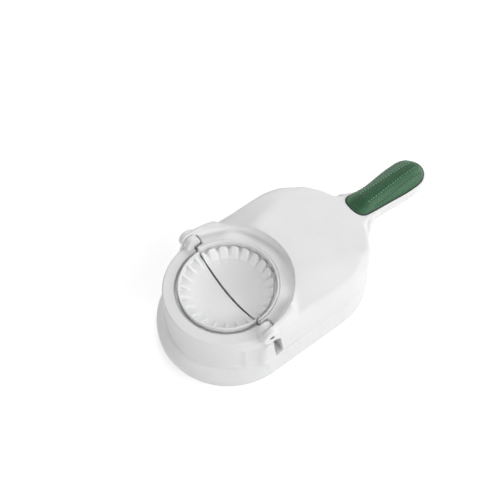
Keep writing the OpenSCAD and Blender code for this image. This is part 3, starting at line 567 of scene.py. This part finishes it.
grip = dict(
    endY=161.3, tip=7.5, corner=2.6, across=1.8, upward=2.1, crown=8.4,
    sunk=0.3, under=1.5, lowEdge=0.4, rise=(97.2, 14), frontHigh=1.5, endHigh=0.3,
    seamIn=1.1, seamW=0.9, seamDeep=0.3, foldIn=(108, 8), foldOut=(150, 6),     # the fold beside the inner rows
    innerX=4.0, innerTaper=1.4 / 38, innerY=112.0,                              # the inner rows of stitches
    outerX=8.2, outerTaper=1 / 40, outerY=107.5,                                # the outer rows
    box=((-11.4, 99.4, 33), (11.4, 161.3, 46)), cell=0.36,
)


def ridgePath(y):
    return grip["innerX"] - grip["innerTaper"] * (y - grip["innerY"])


def flankPath(y):
    return grip["outerX"] - grip["outerTaper"] * (y - grip["outerY"])


def gripField(x, y, z):
    c, g = cover, grip
    x = np.abs(x)
    half = swell(y) - c["ledge"]
    past = pastEnd(y, g["endY"])
    before = np.maximum(c["gripY"] + g["tip"] - y, 0) / g["tip"]
    foot = seatAt(y) - g["sunk"]
    rise = ramp(y, *g["rise"])
    high = g["frontHigh"] * (1 - rise) + (edgeZ(y) + g["crown"] - foot) * rise
    end = np.sqrt(np.maximum(1 - np.minimum(past, 1) ** 2, 0))
    high = high * (g["endHigh"] + (1 - g["endHigh"]) * end)
    q = g["corner"]
    plan = (np.hypot(x / half, past) ** q + before ** q) ** (1 / q)
    dome = (plan ** g["across"] + (np.maximum(z - foot, 0) / high) ** g["upward"]) ** 0.5
    shape = (dome - 1) * np.minimum(half, high)
    inward = (x - ridgePath(y) + g["seamIn"]) / g["seamW"]
    fold = ramp(y, *g["foldIn"]) * (1 - ramp(y, *g["foldOut"]))
    shape = shape + g["seamDeep"] * fold * np.exp(-inward * inward)
    return softMax(shape, foot - g["under"] - z, g["lowEdge"])


note("grip")
gripPiece = fit(skin("gripCover", gripField, grip["box"], grip["cell"]), "cover", "green_grip", "handle_grip")


# Both halves of the mould: a ball's bowl, 12 ridges in front and 12 grooves between teeth at the rear

mould = dict(
    bowlZ=33.2, ballR=47.0, wall=1.8, underR=22.0, teethR=22.3, teeth=12, toothTop=44.5, toothOut=27.9,
    rimIn=28.5, rimT=1.1, rimRise=0.4, rimEdge=0.35, pocket=3.4, pocketRound=0.9,
    ringIn=29.95, ringT=1.15, ringRise=1.6, ringEdge=0.4, trench=3.2, toothEdge=0.5,
    ridge=2.0, ridgeIn=0.8, ridgeDown=1.5, ridgeEdge=0.9, ridgeFillet=0.7,
    grooveW=2.4, grooveDeep=2.4, grooveFlat=0.45, grooveOut=0.6, grooveRound=0.4, grooveEdge=1.1,
    grooveReach=(2.5, 1.0), nose=((1.6, 1.7), (0.8, 0.9), (0.1, 0.2)),     # inner ends of the teeth
    seatIn=27.0, footIn=26.0, footDeep=7.4,
    slitMore=0.25, slitReach=26.0, faceEdge=0.15,           # the slit is widest in the middle
    undercut=2.6, undercutLip=0.4, undercutRun=0.5, undercutR=22.0, undercutEnd=2.0,     # makes it look deep
    section=((-3, 28), (34, 48), 0.1), blur=0.08, cell=0.3,
    frontBox=((-30, -30, 31), (30, 0, 45.4)), rearBox=((-31.2, 0, 31), (31.2, 31.2, 46.6)),
)


def ballZ(r, extra=0.0):
    m = mould
    return m["bowlZ"] + m["ballR"] - np.sqrt((m["ballR"] + extra) ** 2 - r * r)


def slitHalf(x):
    m = mould
    return layout["slit"] + m["slitMore"] * np.maximum(1 - (x / m["slitReach"]) ** 2, 0)


def besideSpoke(x, y):
    # Distance from the middle line of the nearest ridge or groove
    turn = math.pi / mould["teeth"]
    apart = ((np.arctan2(y, x) / turn) % 1 - 0.5) * turn
    return np.abs(np.hypot(x, y) * np.sin(apart))


def underside(out):
    # From the axis out along the bowl's underside, and down to the foot on its seat
    m = mould
    under = [(m["underR"] * i / 12, ballZ(m["underR"] * i / 12, m["wall"])) for i in range(13)]
    foot = [(m["footIn"], layout["hingeZ"] - m["footDeep"]), (m["seatIn"] + 0.5, base["seatZ"])]
    return [(-4, under[0][1])] + under + foot + [(out, base["seatZ"])]


def bowlFace():
    m = mould
    bowl = [(m["teethR"] * i / 12, ballZ(m["teethR"] * i / 12)) for i in range(12, -1, -1)]
    return bowl + [(-4, bowl[-1][1])]


def lipArcs(inner, out, z, edge):
    return arcPoints(out - edge, z - edge, edge, 0, 90, 6) + arcPoints(inner + edge, z - edge, edge, 90, 180, 6)


def frontMouldOutline():
    m, h = mould, layout["hingeZ"]
    out, bend = m["rimIn"] + m["rimT"], m["pocketRound"]
    pocket = arcPoints(m["rimIn"] - bend, h - m["pocket"] + bend, bend, 0, -90, 6)
    rim = lipArcs(m["rimIn"], out, h + m["rimRise"], m["rimEdge"])
    return Outline(underside(out) + rim + pocket + bowlFace(), *m["section"])


def rearMouldOutline():
    m, h = mould, layout["hingeZ"]
    ringOut, edge = m["ringIn"] + m["ringT"], m["toothEdge"]
    ring = lipArcs(m["ringIn"], ringOut, h + m["ringRise"], m["ringEdge"])
    trench = [(m["ringIn"], h - m["trench"]), (m["toothOut"], h - m["trench"])]
    tooth = arcPoints(m["toothOut"] - edge, m["toothTop"] - edge, edge, 0, 90, 6)
    nose = [(m["teethR"] + out, ballZ(m["teethR"]) + up) for out, up in m["nose"]]
    return Outline(underside(ringOut) + ring + trench + tooth + nose + bowlFace(), *m["section"])


frontMouldLine, rearMouldLine = frontMouldOutline(), rearMouldOutline()


def frontMouldField(x, y, z):
    m = mould
    around = np.hypot(x, y)
    low, run = ballZ(m["teethR"]), m["rimIn"] - m["ridgeIn"] - m["teethR"]
    slope = (m["toothTop"] - low) / run
    slant = (z - low - (around - m["teethR"]) * slope) / math.hypot(1, slope)
    top = np.maximum(z - m["toothTop"], slant)
    ridge = softMax(besideSpoke(x, y) - m["ridge"] / 2, top, m["ridgeEdge"])
    ridge = softMax(ridge, np.maximum(around - m["rimIn"] - 0.3, low - m["ridgeDown"] - z), crisp)
    body = softMin(frontMouldLine(around, z), ridge, m["ridgeFillet"])
    return softMax(body, y + slitHalf(x), m["faceEdge"])


def rearMouldField(x, y, z):
    m = mould
    around = np.hypot(x, y)
    bottom, low = m["toothTop"] - m["grooveDeep"], ballZ(m["teethR"])
    fall = (bottom - low) / (m["toothOut"] - m["teethR"] + m["grooveOut"])
    flare = m["grooveW"] / 2 / m["grooveDeep"]
    above = z - bottom - (around - m["toothOut"]) * fall
    side = (besideSpoke(x, y) - m["grooveFlat"] - flare * above) / math.hypot(1, flare)
    inward, outward = m["grooveReach"]
    reach = np.maximum(around - m["toothOut"] - outward, m["teethR"] - inward - around)
    groove = np.maximum(softMax(side, -above, m["grooveRound"]), reach)
    body = softMax(rearMouldLine(around, z), -groove, m["grooveEdge"])
    below = ballZ(np.minimum(around, 30)) - m["undercutLip"] - z
    under = ramp(below, 0, m["undercutRun"]) * ramp(m["undercutR"] - around, 0, m["undercutEnd"])
    return softMax(body, slitHalf(x) + m["undercut"] * under - y, m["faceEdge"])


note("mould")
frontMould = fit(skin("frontMouldHalf", frontMouldField, mould["frontBox"], mould["cell"], mould["blur"]),
                 "base", "white_plastic", "front_mould")
rearMould = fit(skin("rearMouldHalf", rearMouldField, mould["rearBox"], mould["cell"], mould["blur"]),
                "cover", "white_plastic", "rear_mould")


# Stitches of the grip, small threads that lie half in the leather, and a dark tube along its lower edge that
# paints the shadow line where the grip meets the cover

stitch = dict(
    length=0.9, radius=0.36, pitch=2.2, sunk=0.04, blunt=0.03, rings=7, turns=8,
    inner=(110, 153), outer=(108, 155),
)
shadowLine = dict(radius=0.55, up=0.1, turns=10)


def gripTop(x, y):
    low, high = 30.0, 50.0
    for _ in range(30):
        mid = (low + high) / 2
        if gripField(x, y, mid) > 0:
            high = mid
        else:
            low = mid
    return low


def tube(centres, radii, turns, closed=False):
    points, faces = [], []
    count = len(centres)
    for i, (centre, radius) in enumerate(zip(centres, radii)):
        after = centres[(i + 1) % count] if closed or i < count - 1 else centre
        before = centres[i - 1] if closed or i > 0 else centre
        along = (after - before) / np.linalg.norm(after - before)
        side = np.cross(along, [0, 0, 1])
        side /= np.linalg.norm(side)
        up = np.cross(side, along)
        for j in range(turns):
            angle = 2 * math.pi * j / turns
            points.append(centre + (side * math.cos(angle) + up * math.sin(angle)) * radius)
    for i in range(count if closed else count - 1):
        for j in range(turns):
            k, m = i * turns, (i + 1) % count * turns
            faces.append((k + j, m + j, m + (j + 1) % turns, k + (j + 1) % turns))
    return points, faces


def threadPiece(name, path, side, ends):
    points, faces = [], []
    steps = np.linspace(0, 1, stitch["rings"])
    radii = stitch["radius"] * np.sqrt(np.maximum(stitch["blunt"], 1 - (2 * steps - 1) ** 4))
    for y in np.arange(*ends, stitch["pitch"]):
        start, end = (np.array([side * path(v), v, gripTop(side * path(v), v) - stitch["sunk"]])
                      for v in (y, y + stitch["length"]))
        more, sides = tube([start + (end - start) * t for t in steps], radii, stitch["turns"])
        faces += [tuple(len(points) + v for v in face) for face in sides]
        points += more
    return fit(meshOf(name, points, faces), "cover", "green_grip")


def gripEdge():
    # The right half of the grip's lower edge, from its front tip to its end
    g, c = grip, cover
    half = []
    for angle in np.linspace(0, math.pi / 2, 26)[:-1]:
        before = math.cos(angle)
        y = c["gripY"] + g["tip"] * (1 - before)
        half.append(((1 - before ** g["corner"]) ** (1 / g["corner"]) * (swell(y) - c["ledge"]), y))
    tipEnd, roundStart = c["gripY"] + g["tip"], g["endY"] - c["endRound"]
    half += [(swell(y) - c["ledge"], y) for y in np.arange(tipEnd, roundStart, 1.0)]
    for angle in np.linspace(0, math.pi / 2, 30):
        y = roundStart + c["endRound"] * math.sin(angle)
        half.append(((swell(y) - c["ledge"]) * math.cos(angle), y))
    return half


# A near-black tube round the grip's foot: a painted shadow line in the gap between the grip and the cover
def shadowLinePiece():
    half = gripEdge()
    line = half + [(-x, y) for x, y in half[-2:0:-1]]
    centres = [np.array([x, y, float(seatAt(y)) + shadowLine["up"]]) for x, y in line]
    points, faces = tube(centres, [shadowLine["radius"]] * len(centres), shadowLine["turns"], True)
    return fit(meshOf("gripShadowLine", points, faces), "cover", "green_grip")


note("stitches and seam")
ridgeThreads, flankThreads = [], []
for side, word in ((1, "Right"), (-1, "Left")):
    ridgeThreads.append(threadPiece("ridgeStitches" + word, ridgePath, side, stitch["inner"]))
    flankThreads.append(threadPiece("flankStitches" + word, flankPath, side, stitch["outer"]))
gripShadowLine = shadowLinePiece()


# A shader socket that does sums: each operator adds a node
class Sock:
    def __init__(self, tree, socket):
        self.tree, self.socket = tree, socket

    def node(self, kind, settings=None, **inputs):
        made = self.tree.nodes.new(kind)
        for key, value in (settings or {}).items():
            setattr(made, key, value)
        for key, value in inputs.items():
            name = int(key[1:]) if key[0] == "i" and key[1:].isdigit() else key.replace("_", " ")
            if isinstance(value, Sock):
                self.tree.links.new(value.socket, made.inputs[name])
            else:
                made.inputs[name].default_value = value
        return made

    def sum(self, operation, other=0.0, swap=False, clamp=False):
        a, b = (other, self) if swap else (self, other)
        made = self.node("ShaderNodeMath", {"operation": operation, "use_clamp": clamp}, i0=a, i1=b)
        return Sock(self.tree, made.outputs[0])

    def __add__(self, o): return self.sum("ADD", o)
    def __radd__(self, o): return self.sum("ADD", o, True)
    def __sub__(self, o): return self.sum("SUBTRACT", o)
    def __rsub__(self, o): return self.sum("SUBTRACT", o, True)
    def __mul__(self, o): return self.sum("MULTIPLY", o)
    def __rmul__(self, o): return self.sum("MULTIPLY", o, True)
    def __pow__(self, o): return self.sum("POWER", o)
    def __abs__(self): return self.sum("ABSOLUTE")

    def kept(self): return self.sum("ADD", 0.0, clamp=True)

    def steps(self, low, high):
        made = self.node("ShaderNodeMapRange", {"interpolation_type": "SMOOTHSTEP"},
                         Value=self, From_Min=low, From_Max=high, To_Min=0.0, To_Max=1.0)
        return Sock(self.tree, made.outputs["Result"])

    def mixed(self, a, b):
        made = self.tree.nodes.new("ShaderNodeMix")
        made.data_type = "RGBA"
        self.tree.links.new(self.socket, made.inputs[0])
        for index, value in ((6, a), (7, b)):
            if isinstance(value, Sock):
                self.tree.links.new(value.socket, made.inputs[index])
            else:
                made.inputs[index].default_value = (*value, 1)
        return Sock(self.tree, made.outputs[2])


# One material with its surface node, object coordinates and named inputs
class Finish:
    def __init__(self, name):
        self.material = bpy.data.materials.new(name)
        self.material.use_nodes = True
        self.tree = self.material.node_tree
        self.surface = next(n for n in self.tree.nodes if n.type == "BSDF_PRINCIPLED")
        coordinates = self.tree.nodes.new("ShaderNodeTexCoord")
        self.place = Sock(self.tree, coordinates.outputs["Object"])
        geometry = self.tree.nodes.new("ShaderNodeNewGeometry")
        self.edge = Sock(self.tree, geometry.outputs["Pointiness"])

    def noise(self, scale, detail=2.0, roughness=0.5):
        made = self.place.node("ShaderNodeTexNoise", None, Vector=self.place, Scale=scale, Detail=detail,
                               Roughness=roughness)
        return Sock(self.tree, made.outputs[0])

    def cells(self, scale, feature="F1"):
        made = self.place.node("ShaderNodeTexVoronoi", {"feature": feature}, Vector=self.place, Scale=scale)
        return Sock(self.tree, made.outputs[0])

    def axes(self):
        made = self.place.node("ShaderNodeSeparateXYZ", None, Vector=self.place)
        return [Sock(self.tree, made.outputs[i]) for i in range(3)]

    def set(self, **inputs):
        for key, value in inputs.items():
            name = key.replace("_", " ")
            if isinstance(value, Sock):
                self.tree.links.new(value.socket, self.surface.inputs[name])
            else:
                self.surface.inputs[name].default_value = value

    def bump(self, height, strength, distance):
        made = self.place.node("ShaderNodeBump", None, Height=height, Strength=strength, Distance=distance)
        self.tree.links.new(made.outputs[0], self.surface.inputs["Normal"])


def shade(colour, times, more=0.0):
    return tuple(min(1, c * times + more) for c in colour)


# Finishes: noise scales are per metre and bump depths in metres

plasticLook = dict(
    fine=2600.0, haze=260.0, broad=55.0, dark=0.965, specular=0.36, bumpDepth=0.0004,
    edges=(0.52, 0.6), wear=0.35, worn=1.03,                # pointiness of worn edges, and their tone
    # pointiness of hollows that get painted shade, and the tone of that shade
    shadedPointiness=(0.38, 0.495), shadeTone=0.4,
)


def plastic(name, colour, rough, grain=0.04, creviceShadeAmount=0.1):
    f, p = Finish(name), plasticLook
    fine, broad, haze = f.noise(p["fine"], 3.0), f.noise(p["broad"], 3.0), f.noise(p["haze"], 4.0, 0.6)
    wear = f.edge.steps(*p["edges"]) * haze.steps(0.45, 0.62) * p["wear"]
    tint = (broad * 0.7 + haze * 0.3).steps(0.3, 0.7).mixed(shade(colour, p["dark"]), colour)
    tint = wear.mixed(tint, shade(colour, p["worn"]))
    # Painted shade: hollows and creases, found by their low pointiness, are darkened
    creviceShade = (1.0 - f.edge.steps(*p["shadedPointiness"])) * creviceShadeAmount
    tint = creviceShade.mixed(tint, shade(colour, p["shadeTone"]))
    f.set(Base_Color=tint, Roughness=rough + (haze - 0.5) * 0.10 + (broad - 0.5) * 0.06 + wear * 0.1,
          IOR=1.46, Specular_IOR_Level=p["specular"])
    f.bump(fine * 0.6 + haze * 0.4, grain, p["bumpDepth"])
    return f.material


rubberLook = dict(fine=1800.0, dust=400.0, broad=90.0, dusty=1.8, rough=0.72, bump=0.3, bumpDepth=0.0003)


def rubber(name, colour):
    f, p = Finish(name), rubberLook
    fine, broad = f.noise(p["fine"], 4.0, 0.65), f.noise(p["broad"])
    dust = f.noise(p["dust"], 5.0, 0.7).steps(0.5, 0.75)
    f.set(Base_Color=dust.mixed(colour, shade(colour, p["dusty"])), Roughness=p["rough"] + (broad - 0.5) * 0.15)
    f.bump(fine, p["bump"], p["bumpDepth"])
    return f.material


steelLook = dict(brushed=3000.0, stain=150.0, dark=0.72, rough=0.3, bump=0.08, bumpDepth=0.0002)


def steel(name, colour):
    f, p = Finish(name), steelLook
    brushed, stain = f.noise(p["brushed"]), f.noise(p["stain"], 4.0, 0.6)
    wear = f.edge.steps(0.5, 0.58)
    tint = (stain * 0.6 + wear * 0.4).kept().mixed(shade(colour, p["dark"]), colour)
    f.set(Base_Color=tint, Metallic=1.0, Roughness=p["rough"] + (stain - 0.5) * 0.2 - wear * 0.06)
    f.bump(brushed, p["bump"], p["bumpDepth"])
    return f.material


leatherLook = dict(
    grain=620.0, pores=1500.0, specks=800.0, fine=2400.0, broad=70.0, bumpDepth=0.0005,
    strip=(-2.4, 1.8), stripShade=0.35, flankSheen=0.26, wear=0.5,
    rough=0.48, specular=0.3, coat=0.15, coatRough=0.42,
)


def leather(name, dark, light):
    # The strip between the two inner rows of stitches has painted shade and is duller than the flanks, which
    # have a painted sheen
    f, p = Finish(name), leatherLook
    x, y, _ = (v * 1000 for v in f.axes())
    ridge = (ridgePath(y + layout["midY"]) - abs(x)).steps(*p["strip"])
    big, small = f.cells(p["grain"]), f.cells(p["pores"])
    crease = f.cells(p["grain"], "DISTANCE_TO_EDGE").steps(0.0, 0.16)
    fine, broad = f.noise(p["fine"], 3.0), f.noise(p["broad"], 3.0)
    speck = f.noise(p["specks"], 2.0, 0.6).steps(0.42, 0.6)
    tint = (speck * 0.7 + crease * 0.25 + broad * 0.3 - 0.15).kept().mixed(dark, light)
    # Painted shade on the strip between the inner rows of stitches
    tint = (ridge * p["stripShade"]).mixed(tint, shade(dark, 0.75))
    # Painted sheen: the flanks are made lighter and greyer
    tint = ((1.0 - ridge) * p["flankSheen"]).mixed(tint, shade(light, 1.6, 0.025))
    wear = f.edge.steps(0.51, 0.56) * fine.steps(0.4, 0.6)
    tint = (wear * p["wear"]).mixed(tint, shade(light, 1.8, 0.01))
    rough = p["rough"] + ridge * 0.1 + (fine - 0.5) * 0.12 - crease * 0.05 + (broad - 0.5) * 0.08
    f.set(Base_Color=tint, Roughness=rough, IOR=1.5, Specular_IOR_Level=p["specular"],
          Coat_Weight=(1.0 - ridge) * p["coat"], Coat_Roughness=p["coatRough"], Coat_IOR=1.5)
    f.bump(crease * 0.7 - big * 0.4 + small * 0.25 + speck * 0.5, 0.4, p["bumpDepth"])
    return f.material


threadLook = dict(twist=4000.0, fine=900.0, rough=0.6, bump=0.4, bumpDepth=0.0002)


def thread(name, dark, light):
    f, p = Finish(name), threadLook
    twist, fine = f.noise(p["twist"]), f.noise(p["fine"], 3.0)
    f.set(Base_Color=twist.steps(0.35, 0.65).mixed(dark, light), Roughness=p["rough"] + (fine - 0.5) * 0.2)
    f.bump(twist, p["bump"], p["bumpDepth"])
    return f.material


colours = dict(
    white=(0.76, 0.76, 0.765), inner=(0.72, 0.725, 0.735), plate=(0.55, 0.56, 0.57),
    grip=((0.006, 0.046, 0.015), (0.015, 0.093, 0.034)), thread=((0.09, 0.24, 0.14), (0.22, 0.44, 0.29)),
    shadowLine=(0.004, 0.010, 0.007), rubber=(0.05, 0.05, 0.052), steel=(0.62, 0.62, 0.63), pin=(0.05, 0.05, 0.052),
)
whitePlastic = plastic("white plastic", colours["white"], 0.5)
# The mould gets stronger painted shade in the hollows between its ridges and teeth
mouldPlastic = plastic("mould plastic", colours["white"], 0.4, grain=0.03, creviceShadeAmount=0.5)
innerPlastic = plastic("inner plastic", colours["inner"], 0.5, grain=0.06)
platePlastic = plastic("plate plastic", colours["plate"], 0.55, grain=0.08)
gripLeather = leather("green grip", *colours["grip"])
gripThread = thread("grip thread", *colours["thread"])
# Near-black rubber of the grip's painted shadow line, also used on the flank rows of stitches
gripDark = rubber("grip dark thread and shadow line", colours["shadowLine"])
# The pins' steel is near black: painted shade that keeps the drilled ends in the ears' bores dark
pinSteel = steel("pin steel", colours["pin"])
footRubber = rubber("foot rubber", colours["rubber"])
screwSteel = steel("screw steel", colours["steel"])


def dress(material, *pieces):
    for piece in pieces:
        piece.data.materials.clear()
        piece.data.materials.append(material)


dress(whitePlastic, baseShell, coverShell, lowerShell)
dress(mouldPlastic, frontMould, rearMould)
dress(gripLeather, gripPiece)
dress(gripThread, *ridgeThreads)
dress(gripDark, *flankThreads, gripShadowLine)
dress(pinSteel, *pins)

nodeFinish = {
    "press_plate": innerPlastic, "press_disc": innerPlastic,
    "base_bottom_plate": platePlastic, "cover_underside": platePlastic,
    "hinge_pin_left": pinSteel, "hinge_pin_right": pinSteel,
}
for name, piece in nodes.items():
    if "foot" in name:
        dress(footRubber, piece)
    elif "screws" in name:
        dress(screwSteel, piece)
    else:
        dress(nodeFinish.get(name, whitePlastic), piece)
    for polygon in piece.data.polygons:
        polygon.use_smooth = True
    piece.data.set_sharp_from_angle(angle=math.radians(32))


# Floor, light and camera

note("stage")
studio = dict(
    floor=(0.72, 0.72, 0.72), floorSize=3.0, floorGlow=0.5, glowFrom=0.3, glowTo=1.3,
    backdrop=1.0, world=0.03, lampSize=0.5, aim=(0, 0, 0.02),
)
lamps = dict(        # place in metres and power in watts
    right=((0.72, 0.36, 0.42), 3.15),
    rightRear=((0.40, 0.70, 0.45), 3.15),
    rightFront=((0.75, -0.15, 0.45), 2.3),
    leftRear=((-0.60, 0.35, 0.55), 4.2),
    front=((0.10, -0.75, 0.45), 2.9),
)
camera = dict(
    azimuth=54.095, elevation=57.055, roll=-1.131, distance=418.7,
    scale=1.532, cx=229.955, cy=318.701,        # pixels for a millimetre, and the pixel of the hinge's middle
    picture=500, film=36.0, near=0.01, far=20.0,
)


def seenRays(tree):
    # 1 for the rays that show the backdrop itself, in view, in a reflection or through glass
    path = tree.nodes.new("ShaderNodeLightPath")
    kinds = "Is Camera Ray", "Is Glossy Ray", "Is Transmission Ray"
    eye, gloss, glass = (Sock(tree, path.outputs[kind]) for kind in kinds)
    return (eye + gloss + glass).kept()


world = bpy.data.worlds.new("studio")
bpy.context.scene.world = world
world.use_nodes = True
background = next(n for n in world.node_tree.nodes if n.type == "BACKGROUND")
background.inputs["Color"].default_value = (1, 1, 1, 1)
strength = seenRays(world.node_tree) * (studio["backdrop"] - studio["world"]) + studio["world"]
world.node_tree.links.new(strength.socket, background.inputs["Strength"])

reach = studio["floorSize"]
floorMesh = bpy.data.meshes.new("floor")
floorMesh.from_pydata([(-reach, -reach, 0), (reach, -reach, 0), (reach, reach, 0), (-reach, reach, 0)], [],
                      [(0, 1, 2, 3)])
floor = bpy.data.objects.new("floor", floorMesh)
bpy.context.scene.collection.objects.link(floor)
floorFinish = Finish("floor")
floorX, floorY, _ = floorFinish.axes()
outward = ((floorX * floorX + floorY * floorY) ** 0.5).steps(studio["glowFrom"], studio["glowTo"])
glow = seenRays(floorFinish.tree) * (outward * (1 - studio["floorGlow"]) + studio["floorGlow"])
floorFinish.set(Base_Color=(*studio["floor"], 1), Roughness=0.9, Specular_IOR_Level=0.0,
                Emission_Color=glow.mixed((0, 0, 0), (1, 1, 1)), Emission_Strength=1.0)
dress(floorFinish.material, floor)


def lamp(name, at, power):
    data = bpy.data.lights.new(name, "AREA")
    data.shape, data.size, data.energy = "SQUARE", studio["lampSize"], power
    made = bpy.data.objects.new(name, data)
    made.location = at
    made.rotation_euler = (Vector(studio["aim"]) - Vector(at)).to_track_quat("-Z", "Y").to_euler()
    bpy.context.scene.collection.objects.link(made)


for name, (at, power) in lamps.items():
    lamp(name, at, power)


def shoot():
    c = camera
    a, e, r = (math.radians(c[k]) for k in ("azimuth", "elevation", "roll"))
    forward = Vector((-math.sin(a) * math.cos(e), math.cos(a) * math.cos(e), -math.sin(e)))
    flat = Vector((math.cos(a), math.sin(a), 0))
    rise = flat.cross(forward)
    right = flat * math.cos(r) + rise * math.sin(r)
    up = rise * math.cos(r) - flat * math.sin(r)
    middle = c["picture"] / 2
    eye = -c["distance"] * forward
    eye += (middle - c["cx"]) / c["scale"] * right + (c["cy"] - middle) / c["scale"] * up
    eye.y -= layout["midY"]
    data = bpy.data.cameras.new("camera")
    data.sensor_width = c["film"]
    data.lens = c["scale"] * c["distance"] / c["picture"] * c["film"]
    data.clip_start, data.clip_end = c["near"], c["far"]
    shot = bpy.data.objects.new("camera", data)
    shot.matrix_world = Matrix([
        (right[i], up[i], -forward[i], eye[i] / 1000) for i in range(3)] + [(0, 0, 0, 1)])
    bpy.context.scene.collection.objects.link(shot)
    bpy.context.scene.camera = shot


shoot()
bpy.context.scene.view_settings.view_transform = "Standard"

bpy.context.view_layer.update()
note("done")
